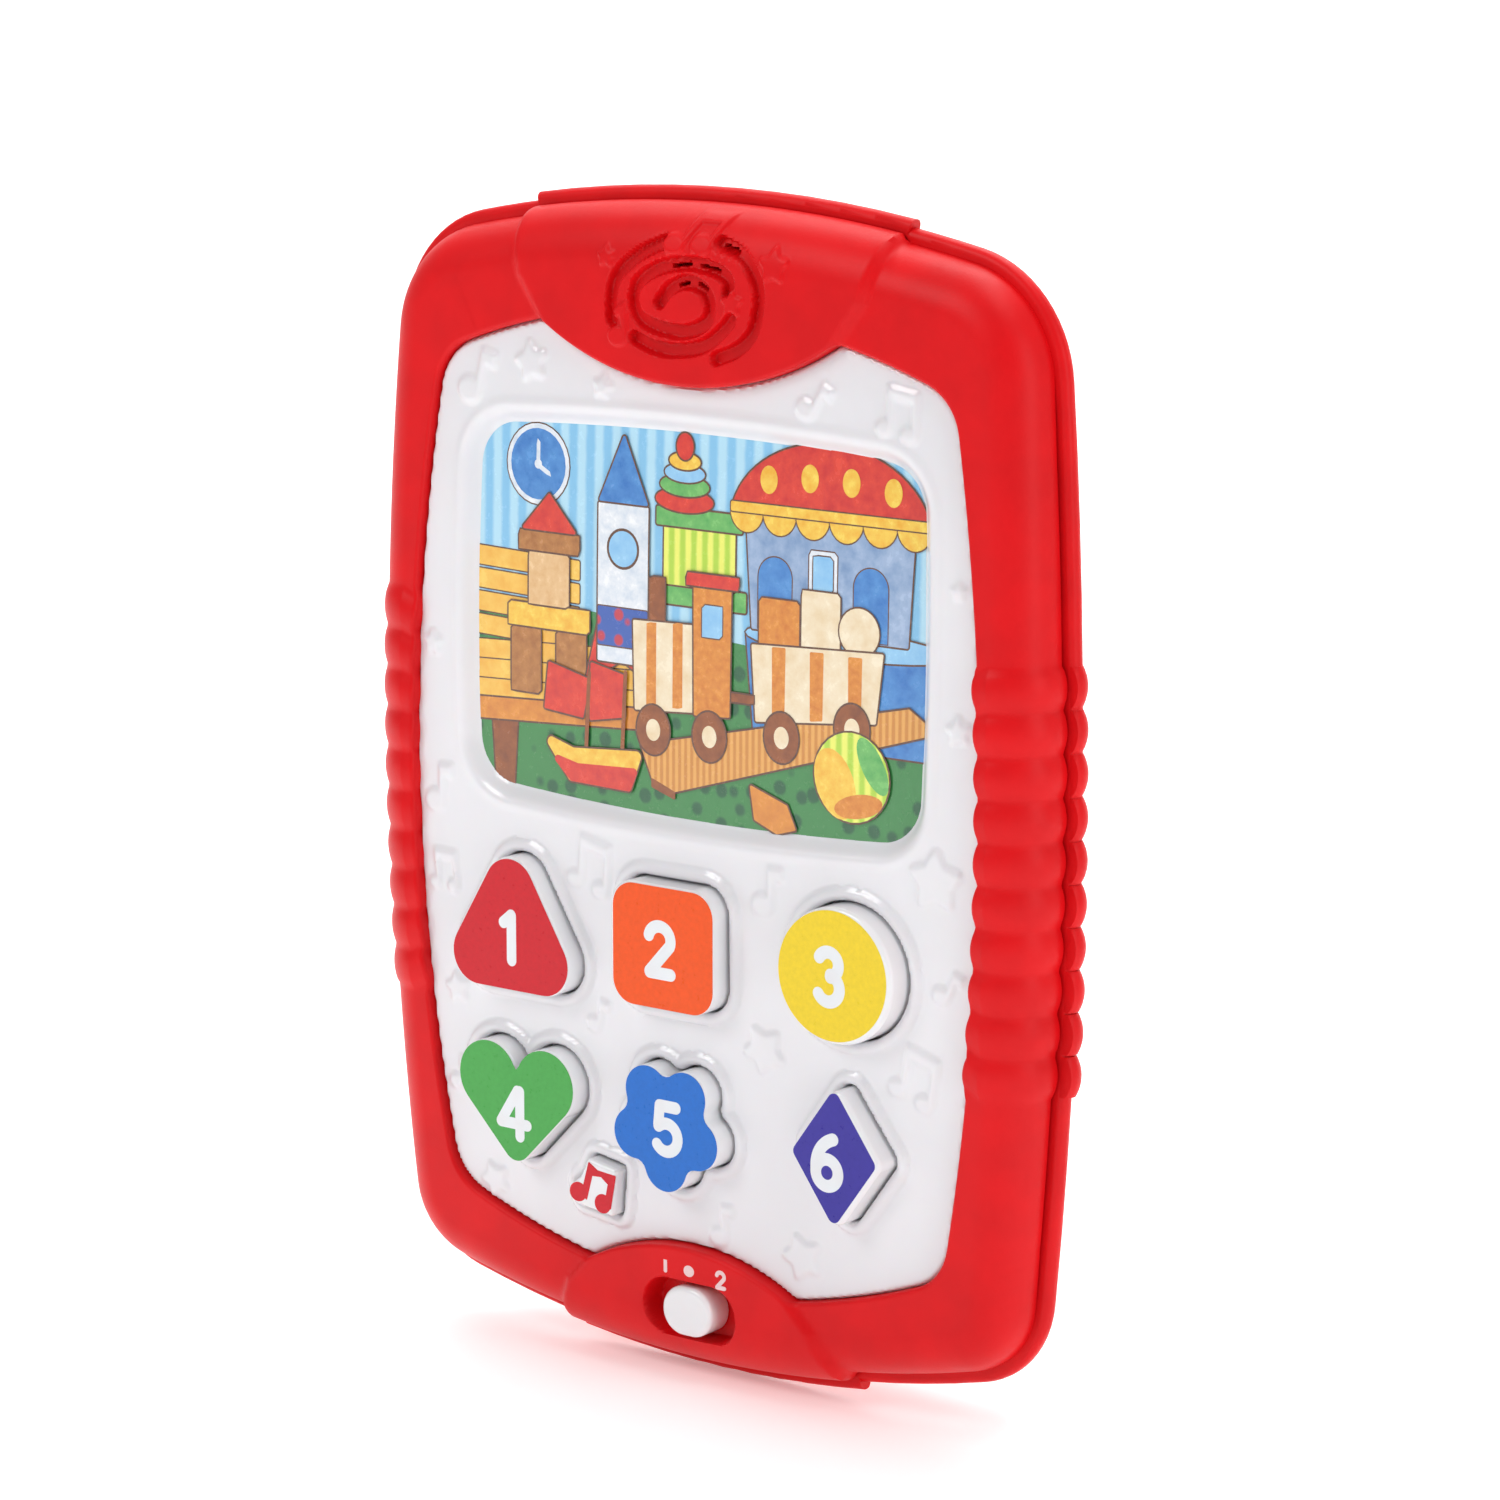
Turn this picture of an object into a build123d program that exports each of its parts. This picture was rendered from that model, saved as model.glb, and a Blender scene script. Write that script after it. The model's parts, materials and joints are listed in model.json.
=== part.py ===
"""Toy cell phone: a red two-part case around a domed white faceplate with a picture window,
seven push buttons, a speaker, a slide switch and a battery compartment.

The case stands upright on its lower lobe: +X to the right, +Y to the back, +Z up.  A "depth" is
measured backwards from the foremost point of the white faceplate.
"""
from build123d import *
import math
import os

# ------------------------------------------------------------------ outline of the case (front view)
LIP_TOP = 172.4
LIP_BOTTOM = 1.2
LIP_SIDE = (61.6, 86.0)
LIP_TOP_CORNER = (58.3, 164.4)
LIP_BOTTOM_CORNER = (57.1, 10.0)
TOP_CORNER_R = 19.0
BOTTOM_CORNER_R = 15.0
CORNER_SHIFT = (0.93, 0.77)
BACK_WALL = 2.0
TONGUE_THICK = 1.4
FRONT_INSET = 2.0
LOBE_STEP = 1.2
WALL = 2.2
CAVITY_STEP = 4.5
LIP_BACK = 10.6
LIP_ROUND = 1.2
PAN_SECTIONS = ((10.2, 3.0), (15.0, 5.2), (19.5, 8.8), (22.8, 13.0), (24.0, 17.0))
SMALLEST_CORNER_R = 5.0

# ------------------------------------------------------------------ faceplate opening (front view)
TOP_CUSP = (26.2, 154.0)
TOP_EDGE = (36.0, 151.4)
OPEN_TOP_CORNER = (45.8, 147.8)
OPEN_SIDE = (51.2, 86.0)
OPEN_BOTTOM_CORNER = (44.8, 23.6)
BOTTOM_EDGE = (32.0, 18.8)
BOTTOM_CUSP = (18.6, 15.5)
TOP_LOBE_LOW = 146.2
BOTTOM_LOBE_HIGH = 20.6
OPEN_CORNER_R = 9.0

# ------------------------------------------------------------------ depths
CAP_STAND = 3.8
BACK_DEPTH = 24.0
FACE_Y = -(BACK_DEPTH - CAP_STAND) / 2
FRAME_PROUD = 1.2
LOBE_PROUD = 2.2
PARTING_FRONT = 7.6
PARTING_BACK = 8.0
FRAME_EDGE_R = 6.8
LOBE_EDGE_R = 7.4
DOME_R = 1600.0
DOME_HEIGHT = 85.0
PLATE_SKIN = 2.2
PLATE_BACK = 4.4
FLANGE = 3.0
FLANGE_DEPTH = 1.25

# ------------------------------------------------------------------ picture window
WINDOW_CENTRE = 111.5
WINDOW_HALF_W = 40.2
WINDOW_HALF_H = 27.8
WINDOW_BOW = 1.6
WINDOW_CORNER_R = 7.0
WINDOW_SINK = 2.3
WINDOW_RIM = 2.4
RIM_BASE = 1.9
RIM_SLOPE = 50
CARD_THICK = 0.5

# ------------------------------------------------------------------ buttons
COLUMNS = (-30.2, -1.7, 29.2)
UPPER_ROW = 65.6
LOWER_ROW = 38.8
CAP_GAP = 0.35
COLLAR_WIDTH = 1.9
COLLAR_HEIGHT = 0.7
CAP_EDGE_R = 0.7
CAP_FLANGE = 1.1
CAP_FLANGE_THICK = 1.2
CAP_TRAVEL = 1.8
CAP_REST = 4.6
POST_R = 2.4
POST_END = 6.5
NOTE_STAND = 2.4
NOTE_CENTRE = (-16.0, 27.0)

# ------------------------------------------------------------------ grips on the long sides
RIB_COUNT = 10
RIB_PITCH = 6.1
RIB_TOP = 112.0
RIB_VALLEY = 0.25
RIB_EDGE = 0.15
RIB_BULGE = 0.9
RIB_BITE = 0.6

# ------------------------------------------------------------------ speaker and swirl grille
SPEAKER_X = 0.2
GROOVE_WIDTH = 2.0
GROOVE_DEPTH = 1.4
SLOT_WIDTH = 0.9
SPEAKER_R = 13.5
SPEAKER_FRONT = 4.9
SPEAKER_HEIGHT = 153.0
POST_OFFSET = 1.6
STAKE_R = 1.5

# ------------------------------------------------------------------ slide switch
SWITCH = (0.8, 11.1)
RECESS = (16.4, 8.4)
RECESS_FLOOR = 3.4
KNOB = (9.0, 7.4)
KNOB_FRONT = -1.2
KNOB_TRAVEL = 3.2
LEVER = (2.4, 2.0)

# ------------------------------------------------------------------ board and keypad
BOARD = (84.0, 62.0)
BOARD_HEIGHT = 54.0
BOARD_FRONT = 9.5
BOARD_THICK = 1.6
BOARD_TAIL = (26.0, 22.0)
BOARD_TAIL_LOW = 9.0
MEMBRANE = (78.0, 52.0)
MEMBRANE_THICK = 0.8
DOME_SQUASHED = 0.3
BOARD_SCREWS = [(x, z) for x in (-38.5, 38.5) for z in (80.5, 27.0)]

# ------------------------------------------------------------------ case screws
CASE_SCREWS = [(s * x, z) for x, z in ((44.8, 155.8), (25.0, 162.5), (44.2, 15.4)) for s in (-1, 1)]
CASE_BOSS_R = 3.4
CASE_HEAD_DEPTH = 12.0
HEAD_R = 2.6
HEAD_THICK = 1.6
SHANK_R = 1.3
PILOT_GAP = 0.05

# ------------------------------------------------------------------ batteries (three AAA cells)
CELL_R = 5.25
CELL_LENGTH = 44.5
CELL_NUB_R = 1.9
CELL_NUB = 1.0
CELL_COUNT = 3
CELL_PITCH = 11.2
CELL_DEPTH = 16.6
BAY_HALF_W = 27.6
BAY_HALF_H = 17.2
BAY_HEIGHT = 116.0
BAY_CEILING = 11.1
BAY_WALL = 1.5
DOOR_MARGIN = 1.2
DOOR_GAP = 0.3
DOOR_FRONT = 22.2
DOOR_EAR_R = 6.0
DOOR_TABS = (-17.0, 17.0)
TAB = (7.0, 2.4, 1.2)
CONTACT_THICK = 0.4
DOOR_HEAD = 1.0
DOOR_ROUND = 0.88


# ================================================================== helpers
def slab(outline, front, back):
    """Front-view outline made solid between two depths."""
    return extrude(Plane.XZ.offset(-(FACE_Y + back)) * outline, amount=back - front)


def dome(front):
    """Very large ball whose foremost point is at the given depth."""
    return Pos(0, FACE_Y + front + DOME_R, DOME_HEIGHT) * Sphere(DOME_R)


def dome_sag(x, z):
    """How far a dome has fallen back at a front-view point."""
    return (x**2 + (z - DOME_HEIGHT) ** 2) / (2 * DOME_R)


def disc(x, z, radius, front, back):
    """Round slug along the depth."""
    return slab(Pos(x, z) * Circle(radius), front, back)


def mirror_x(point):
    return (-point[0], point[1])


def lip_outline(grow=0.0):
    """Outline of the case at its rounded lip, moved outwards by grow: four bowed sides with round
    corners.  Where two sides meet, their sharp corner moves by CORNER_SHIFT times grow."""
    shift_x = CORNER_SHIFT[0] * grow
    shift_z = CORNER_SHIFT[1] * grow
    high = (LIP_TOP_CORNER[0] + shift_x, LIP_TOP_CORNER[1] + shift_z)
    low = (LIP_BOTTOM_CORNER[0] + shift_x, LIP_BOTTOM_CORNER[1] - shift_z)
    side = (LIP_SIDE[0] + grow, LIP_SIDE[1])
    top = ThreePointArc(mirror_x(high), (0, LIP_TOP + grow), high)
    right = ThreePointArc(high, side, low)
    bottom = ThreePointArc(low, (0, LIP_BOTTOM - grow), mirror_x(low))
    left = ThreePointArc(mirror_x(low), mirror_x(side), mirror_x(high))
    face = make_face([top, right, bottom, left])
    face = fillet(face.vertices().group_by(Axis.Y)[-1], max(TOP_CORNER_R + grow, SMALLEST_CORNER_R))
    sharp = [v for v in face.vertices() if abs(v.Y - low[1]) < 0.01]
    return fillet(sharp, max(BOTTOM_CORNER_R + grow, SMALLEST_CORNER_R))


def opening_outline():
    """Edge of the red frame around the faceplate, with a lobe reaching in at top and bottom."""
    edges = []
    for flip in (False, True):
        def place(point):
            return mirror_x(point) if flip else point
        edges.append(ThreePointArc(place(TOP_CUSP), place(TOP_EDGE), place(OPEN_TOP_CORNER)))
        edges.append(ThreePointArc(place(OPEN_TOP_CORNER), place(OPEN_SIDE), place(OPEN_BOTTOM_CORNER)))
        edges.append(ThreePointArc(place(OPEN_BOTTOM_CORNER), place(BOTTOM_EDGE), place(BOTTOM_CUSP)))
    edges.append(ThreePointArc(mirror_x(TOP_CUSP), (0, TOP_LOBE_LOW), TOP_CUSP))
    edges.append(ThreePointArc(mirror_x(BOTTOM_CUSP), (0, BOTTOM_LOBE_HIGH), BOTTOM_CUSP))
    face = make_face(edges)
    corners = [v for v in face.vertices() if abs(v.X) > OPEN_BOTTOM_CORNER[0] - 0.1]
    return fillet(corners, OPEN_CORNER_R)


def top_lobe_region():
    """Front-view area of the raised top lobe, flaring from the cusps to the top edge."""
    flare = [TOP_CUSP, (30.6, 160.0), (32.2, 166.0), (33.4, 171.0), (36.0, 176.0)]
    right = Spline(*flare)
    left = Spline(*[mirror_x(p) for p in flare])
    top = Line(flare[-1], mirror_x(flare[-1]))
    low = ThreePointArc(mirror_x(TOP_CUSP), (0, TOP_LOBE_LOW - 6), TOP_CUSP)
    return make_face([right, left, top, low])


def bottom_lobe_region():
    """Front-view area of the raised bottom lobe."""
    flare = [BOTTOM_CUSP, (22.4, 11.6), (24.6, 7.4), (25.6, 2.4), (28.0, -3.0)]
    right = Spline(*flare)
    left = Spline(*[mirror_x(p) for p in flare])
    low = Line(flare[-1], mirror_x(flare[-1]))
    high = ThreePointArc(mirror_x(BOTTOM_CUSP), (0, BOTTOM_LOBE_HIGH + 6), BOTTOM_CUSP)
    return make_face([right, left, low, high])


def window_outline(grow=0.0):
    """Bowed rectangle of the picture window."""
    half_w = WINDOW_HALF_W + grow
    half_h = WINDOW_HALF_H + grow
    corners = [(half_w - 0.7, half_h - WINDOW_BOW), (half_w - 0.7, WINDOW_BOW - half_h)]
    top = ThreePointArc(mirror_x(corners[0]), (0, half_h), corners[0])
    right = ThreePointArc(corners[0], (half_w, 0), corners[1])
    bottom = ThreePointArc(corners[1], (0, -half_h), mirror_x(corners[1]))
    left = ThreePointArc(mirror_x(corners[1]), (-half_w, 0), mirror_x(corners[0]))
    face = make_face([top, right, bottom, left])
    return Pos(0, WINDOW_CENTRE) * fillet(face.vertices(), WINDOW_CORNER_R + grow)


# ================================================================== button outlines
def triangle_face():
    corners = [(0, 15.2), (-15.4, -10.4), (15.4, -10.4)]
    face = make_face(Polyline(*corners, close=True))
    return fillet(face.vertices(), 5.2)


def square_face():
    return RectangleRounded(19.2, 19.0, 4.2)


def circle_face():
    return Circle(10.2)


def heart_face():
    lobe = Circle(5.8)
    lobes = Pos(-5.4, 3.0) * lobe + Pos(5.4, 3.0) * lobe
    tip = make_face(Polyline((-9.7, -0.8), (0, -10.8), (9.7, -0.8), (5, 5), (-5, 5), close=True))
    heart = lobes + tip
    point = heart.vertices().sort_by(Axis.Y)[0]
    return fillet(point, 3.0)


def flower_face():
    petals = Circle(5.6)
    for turn in range(5):
        angle = math.radians(270 + 72 * turn)
        petals += Pos(5.9 * math.cos(angle), 5.9 * math.sin(angle)) * Circle(4.2)
    notches = [v for v in petals.vertices() if math.hypot(v.X, v.Y) > 5.7]
    return fillet(notches, 1.5) if notches else petals


def diamond_face():
    face = make_face(Polyline((0, 11.4), (8.3, 0), (0, -11.4), (-8.3, 0), close=True))
    return fillet(face.vertices(), 1.8)


def note_face():
    """Rounded patch around a pair of joined notes."""
    corners = [(-1.6, 4.6), (4.5, 3.6), (3.5, -4.4), (-4.4, -3.4), (-5.1, -0.2), (-3.2, 1.4)]
    face = make_face(Polyline(*corners, close=True))
    return fillet(face.vertices(), 0.9)


BUTTONS = {
    "triangle": (triangle_face, COLUMNS[0], UPPER_ROW - 0.6, CAP_STAND),
    "square": (square_face, COLUMNS[1], UPPER_ROW, CAP_STAND),
    "circle": (circle_face, COLUMNS[2], UPPER_ROW + 0.4, CAP_STAND),
    "heart": (heart_face, COLUMNS[0] + 0.6, LOWER_ROW - 0.6, CAP_STAND),
    "flower": (flower_face, COLUMNS[1] + 0.4, LOWER_ROW + 0.3, CAP_STAND),
    "diamond": (diamond_face, COLUMNS[2], LOWER_ROW + 0.7, CAP_STAND),
    "note": (note_face, NOTE_CENTRE[0], NOTE_CENTRE[1], NOTE_STAND),
}


# ================================================================== relief on the faceplate
def star_motif(size):
    points = []
    for k in range(10):
        radius = size if k % 2 == 0 else size * 0.55
        angle = math.radians(90 + 36 * k)
        points.append((radius * math.cos(angle), radius * math.sin(angle)))
    return fillet(make_face(Polyline(*points, close=True)).vertices(), size * 0.12)


def note_motif(size):
    head = Pos(-0.15 * size, -0.5 * size) * Ellipse(0.46 * size, 0.40 * size)
    stem = Pos(0.18 * size, 0.15 * size) * Rectangle(0.26 * size, 1.4 * size)
    flag = Pos(0.38 * size, 0.62 * size) * Rectangle(0.62 * size, 0.46 * size)
    return head + stem + flag


def pair_motif(size):
    head = Ellipse(0.34 * size, 0.28 * size)
    heads = Pos(-0.62 * size, -0.62 * size) * head + Pos(0.42 * size, -0.80 * size) * head
    stems = Pos(-0.38 * size, 0.05 * size) * Rectangle(0.22 * size, 1.35 * size)
    stems += Pos(0.65 * size, -0.12 * size) * Rectangle(0.22 * size, 1.35 * size)
    beam = Pos(0.13 * size, 0.6 * size) * Rot(0, 0, -9) * Rectangle(1.25 * size, 0.4 * size)
    return heads + stems + beam


RELIEF_HEIGHT = 0.35
RELIEF = [
    (note_motif, -39.6, 144.7, 4.8, -12), (star_motif, -29.0, 147.4, 3.5, 12),
    (star_motif, -15.6, 144.8, 2.0, -8), (note_motif, 21.8, 145.9, 3.6, -28),
    (pair_motif, 36.3, 145.5, 4.0, 0), (star_motif, 46.8, 121.6, 1.5, 0),
    (star_motif, 47.2, 102.3, 2.4, 6), (star_motif, 43.6, 80.8, 5.2, 0),
    (note_motif, 45.6, 66.0, 3.2, -22), (pair_motif, 40.4, 52.6, 4.6, -10),
    (star_motif, 14.0, 52.2, 4.3, 30), (note_motif, -16.6, 52.6, 3.0, -10),
    (note_motif, 14.6, 75.6, 4.2, 0), (pair_motif, -17.4, 75.2, 4.6, -4),
    (note_motif, 5.6, 24.6, 3.6, 4), (star_motif, 20.2, 22.4, 4.1, 20),
    (star_motif, -37.4, 24.0, 3.2, 25), (star_motif, -47.9, 104.4, 2.2, 0),
    (note_motif, -47.0, 82.8, 4.2, 0), (pair_motif, -46.0, 70.6, 3.4, 8),
    (star_motif, -43.8, 52.6, 2.8, 10), (note_motif, -44.0, 39.6, 3.0, 0),
]


def relief_motifs():
    motifs = []
    for shape, x, z, size, turn in RELIEF:
        outline = Pos(x, z) * Rot(0, 0, turn) * shape(size)
        motifs.append(slab(outline, dome_sag(x, z) - RELIEF_HEIGHT, dome_sag(x, z) + 1))
    return motifs


# ================================================================== grips
def rib_heights():
    return [RIB_TOP - RIB_PITCH * (k + 0.5) for k in range(RIB_COUNT)]


def side_at(height, sagitta_point, radius):
    """Half width of a bowed side at a height."""
    return sagitta_point[0] - (height - sagitta_point[1]) ** 2 / (2 * radius)


LIP_SIDE_R = 900.0
OPEN_SIDE_R = 345.0


def barrel(x, height, depth, radius):
    """Barrel standing upright that bulges by RIB_BULGE at its middle."""
    half = (RIB_PITCH - RIB_VALLEY) / 2
    rim = radius + RIB_EDGE
    bulge = ThreePointArc((rim, -half), (radius + RIB_BULGE, 0), (rim, half))
    profile = make_face([Line((0, -half), (rim, -half)), bulge, Line((rim, half), (0, half)),
                         Line((0, half), (0, -half))])
    solid = revolve(Plane.XZ * profile, Axis.Z, 360)
    return Pos(x, FACE_Y + depth, height) * solid


def rib_footprints(side):
    """Front-view patches of the ribs, each with a round end that bites into the faceplate."""
    round_r = (RIB_PITCH**2 / 4 + RIB_BITE**2) / (2 * RIB_BITE)
    patches = []
    for height in rib_heights():
        edge = side_at(height, OPEN_SIDE, OPEN_SIDE_R)
        band = Pos(side * (edge + 6), height) * Rectangle(16, RIB_PITCH - RIB_VALLEY)
        patches.append(band & Pos(side * (edge - RIB_BITE + round_r), height) * Circle(round_r))
    return patches


# ================================================================== front shell
def crowned(outline, front, back, edge_radius):
    """Block with a gently domed front whose rim is rounded."""
    block = slab(outline, front - 6, back) & dome(front)
    rim = block.faces().sort_by(Axis.Y)[0].edges()
    return fillet(rim, edge_radius)


def groove_stroke(points, width):
    """Curved band of even width through a few points, with round ends."""
    band = trace(Spline(*points), width) if len(points) > 2 else trace(Line(*points), width)
    for end in (points[0], points[-1]):
        band += Pos(*end) * Circle(width / 2)
    return band


SWIRL_GROOVES = [
    [(-3.8, 166.3), (-8.0, 164.4), (-11.7, 161.4), (-12.8, 158.4), (-12.6, 154.9)],
    [(6.0, 166.7), (10.0, 165.2), (12.8, 162.0), (13.3, 158.6), (12.3, 154.6), (9.6, 152.1), (6.2, 150.7)],
    [(-8.4, 152.6), (-5.0, 151.5), (-1.0, 151.3), (3.6, 152.2), (6.9, 154.5), (8.5, 156.2)],
    [(8.0, 160.0), (7.8, 161.8), (5.2, 163.1), (0.5, 163.6), (-4.6, 162.6), (-8.1, 160.4), (-8.7, 157.8),
     (-7.4, 155.4), (-3.6, 154.2)],
    [(-3.6, 154.2), (0.8, 154.1), (4.1, 155.6), (4.9, 158.0), (3.6, 160.2), (0.6, 161.0), (-2.4, 159.9),
     (-4.1, 157.9)],
]
SWIRL_SLOTS = [[(6.2, 166.3), (8.7, 165.6)], [(-2.6, 163.0), (0.4, 163.4)], [(2.4, 163.3), (5.6, 162.8)],
               [(-1.3, 160.4), (0.2, 160.8)], [(2.1, 160.8), (3.5, 160.1)]]


def swirl_notes():
    """Pair of joined notes whose heads stand at the gap in the outer ring."""
    heads = Pos(-1.9, 166.2) * Ellipse(1.8, 1.5) + Pos(2.9, 166.3) * Ellipse(1.8, 1.5)
    left = make_face(Polyline((-0.8, 166.2), (0.1, 166.3), (2.2, 169.6), (2.2, 170.8), (1.2, 170.8), close=True))
    right = make_face(Polyline((3.8, 166.2), (4.7, 166.4), (7.2, 170.8), (5.9, 170.8), close=True))
    beam = make_face(Polyline((1.0, 169.3), (6.2, 169.3), (7.0, 170.7), (1.3, 170.7), close=True))
    return heads + left + right + beam


def swirl_note():
    """Single note at the lower left of the swirl."""
    stem = make_face(Polyline((-10.3, 152.8), (-9.5, 152.8), (-9.9, 157.0), (-11.2, 156.6), close=True))
    flag = make_face(Polyline((-12.2, 156.4), (-9.8, 157.7), (-9.7, 156.1), (-11.7, 155.1), close=True))
    return Pos(-11.2, 152.6) * Ellipse(1.8, 1.4) + stem + flag


def swirl_motifs():
    """Raised notes and stars that interrupt the swirl."""
    stars = [Pos(8.9, 158.6) * star_motif(2.2), Pos(15.9, 164.2) * star_motif(3.0),
             Pos(-13.8, 163.7) * star_motif(1.8)]
    return stars + [swirl_notes(), swirl_note()]


def front_shell():
    """Red frame: domed ring, raised lobes, grips and speaker swirl, hollow from the back."""
    outline = lip_outline(-FRONT_INSET)
    wide = lip_outline(LOBE_STEP - FRONT_INSET)
    lobes = crowned(wide, -LOBE_PROUD, PARTING_FRONT, LOBE_EDGE_R)
    shell = crowned(outline, -FRAME_PROUD, PARTING_FRONT, FRAME_EDGE_R)
    for region in (top_lobe_region(), bottom_lobe_region()):
        shell += lobes & slab(region, -8, PARTING_FRONT)
    cut = slab(opening_outline(), -9, BACK_DEPTH)
    for side in (-1, 1):
        for patch, height in zip(rib_footprints(side), rib_heights()):
            x = side * (side_at(height, LIP_SIDE, LIP_SIDE_R) - FRONT_INSET - FRAME_EDGE_R)
            rib = barrel(x, height, PARTING_FRONT, FRAME_EDGE_R)
            shell += rib & slab(patch, -9, PARTING_FRONT)
            cut -= slab(patch, -9, BACK_DEPTH)
    for groove in SWIRL_GROOVES:
        shell -= slab(groove_stroke(groove, GROOVE_WIDTH), -9, BACK_DEPTH) - dome(GROOVE_DEPTH - LOBE_PROUD)
    for land in swirl_lands():
        shell += land
    shell -= slab(lip_outline(-FRONT_INSET - 2 * WALL), -9, BACK_DEPTH) & dome(WALL - FRAME_PROUD)
    shell -= slab(lip_outline(-FRONT_INSET - WALL), CAVITY_STEP, BACK_DEPTH)
    shell -= cut
    for slot in SWIRL_SLOTS:
        shell -= slab(groove_stroke(slot, SLOT_WIDTH), -9, PARTING_FRONT)
    return finish_front_shell(shell)


def swirl_lands():
    outline = lip_outline(LOBE_STEP - FRONT_INSET + RELIEF_HEIGHT)
    skin = crowned(outline, -LOBE_PROUD - RELIEF_HEIGHT, PARTING_FRONT, LOBE_EDGE_R)
    return [slab(motif, -9, PARTING_FRONT) & skin for motif in swirl_motifs()]


def finish_front_shell(shell):
    """Switch recess, screw bosses, speaker posts and stakes."""
    recess = Pos(*SWITCH) * SlotOverall(*RECESS)
    pan = slab(offset(recess, 1.4), 0.5, RECESS_FLOOR + 1.6)
    shell += pan - slab(recess, -9, RECESS_FLOOR)
    shell -= slab(recess, -9, RECESS_FLOOR)
    slot = Pos(*SWITCH) * SlotOverall(2 * KNOB_TRAVEL + LEVER[0] + 3, LEVER[1] + 1)
    shell -= slab(slot, -9, BACK_DEPTH)
    for x, z in CASE_SCREWS:
        shell += disc(x, z, CASE_BOSS_R, 1.0 + dome_sag(x, z), PARTING_FRONT)
        shell -= disc(x, z, SHANK_R + PILOT_GAP, 3.0, BACK_DEPTH)
    for side in (-1, 1):
        x = SPEAKER_X + side * (SPEAKER_R + POST_OFFSET)
        shell += disc(x, SPEAKER_HEIGHT, STAKE_R, 2.0, SPEAKER_FRONT + 1.2)
        shell -= disc(x, SPEAKER_HEIGHT, 0.9, 3.4, BACK_DEPTH)
    return shell


# ================================================================== faceplate
def faceplate():
    outline = opening_outline()
    trimmed = offset(outline, -0.15)
    for side in (-1, 1):
        for patch in rib_footprints(side):
            trimmed -= offset(patch, 0.15)
    plate = slab(trimmed, -4, PLATE_BACK) & dome(0)
    plate += slab(offset(outline, FLANGE), -4, PLATE_BACK) & dome(FLANGE_DEPTH)
    plate -= slab(offset(outline, -2.5), -4, PLATE_BACK) & dome(PLATE_SKIN)
    for motif in relief_motifs():
        plate += motif
    for shape, x, z, _ in BUTTONS.values():
        hole = Pos(x, z) * shape()
        plate += slab(offset(hole, COLLAR_WIDTH), dome_sag(x, z) - COLLAR_HEIGHT, PLATE_BACK - 1)
        plate -= slab(hole, -6, PLATE_BACK + 1)
    sink = slab(window_outline(), -4, BACK_DEPTH) - dome(WINDOW_SINK)
    plate += slab(window_outline(WINDOW_RIM), 1, WINDOW_SINK + 2.4) & dome(1)
    plate -= sink
    plate -= window_slope()
    for x, z in BOARD_SCREWS:
        plate += disc(x, z, 3.0, 2.0 + dome_sag(x, z), BOARD_FRONT)
        plate -= disc(x, z, SHANK_R + PILOT_GAP, 3.6, BACK_DEPTH)
    return plate


def window_slope():
    """Sloping rim around the picture window, as a tapered cut."""
    rim = Plane.XZ.offset(-FACE_Y - RIM_BASE) * window_outline()
    return extrude(rim, amount=6, taper=-RIM_SLOPE)


def picture_card():
    card = slab(offset(window_outline(), -0.1), -4, BACK_DEPTH) & dome(WINDOW_SINK - CARD_THICK)
    return card - dome(WINDOW_SINK - 0.02)


# ================================================================== buttons
def button(shape, x, z, stand):
    """Cap with a rounded top, a retaining flange behind the faceplate and a centre post."""
    opening = Pos(x, z) * shape()
    body = offset(opening, -CAP_GAP)
    top = dome_sag(x, z) - stand
    cap = slab(body, top, CAP_REST)
    cap = fillet(cap.faces().sort_by(Axis.Y)[0].edges(), CAP_EDGE_R)
    cap += slab(offset(opening, CAP_FLANGE), CAP_REST, CAP_REST + CAP_FLANGE_THICK)
    cap -= slab(offset(body, -1.6), top + 1.8, CAP_REST + CAP_FLANGE_THICK)
    return cap + disc(x, z, POST_R if stand == CAP_STAND else 1.4, top + 1.0, POST_END)


# ================================================================== keypad, board and switch
def keypad_membrane():
    sheet = slab(Pos(0, BOARD_HEIGHT - 1) * RectangleRounded(*MEMBRANE, 3), *membrane_depths())
    for _, x, z, _ in BUTTONS.values():
        sheet += disc(x, z, 3.4, BOARD_FRONT - MEMBRANE_THICK - DOME_SQUASHED, BOARD_FRONT - 0.1)
    for x, z in BOARD_SCREWS:
        sheet -= disc(x, z, 3.4, 0, BACK_DEPTH)
    return sheet


def membrane_depths():
    return (BOARD_FRONT - MEMBRANE_THICK, BOARD_FRONT - 0.02)


def circuit_board():
    outline = Pos(0, BOARD_HEIGHT) * RectangleRounded(*BOARD, 2)
    outline += Pos(SWITCH[0], BOARD_TAIL_LOW + BOARD_TAIL[1] / 2) * RectangleRounded(*BOARD_TAIL, 2)
    board = slab(outline, BOARD_FRONT, BOARD_FRONT + BOARD_THICK)
    for x, z in BOARD_SCREWS:
        board -= disc(x, z, SHANK_R + 0.2, 0, BACK_DEPTH)
    return board


def sound_chip():
    """Low resin drop over the sound chip on the back of the board."""
    back = BOARD_FRONT + BOARD_THICK
    drop = disc(16, 50, 6.0, back + 0.02, back + 1.6)
    return fillet(drop.faces().sort_by(Axis.Y)[-1].edges(), 1.2)


def capacitor():
    back = BOARD_FRONT + BOARD_THICK
    can = disc(-24, 62, 2.5, back + 0.02, back + 6.0)
    return fillet(can.faces().sort_by(Axis.Y)[-1].edges(), 0.4)


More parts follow.
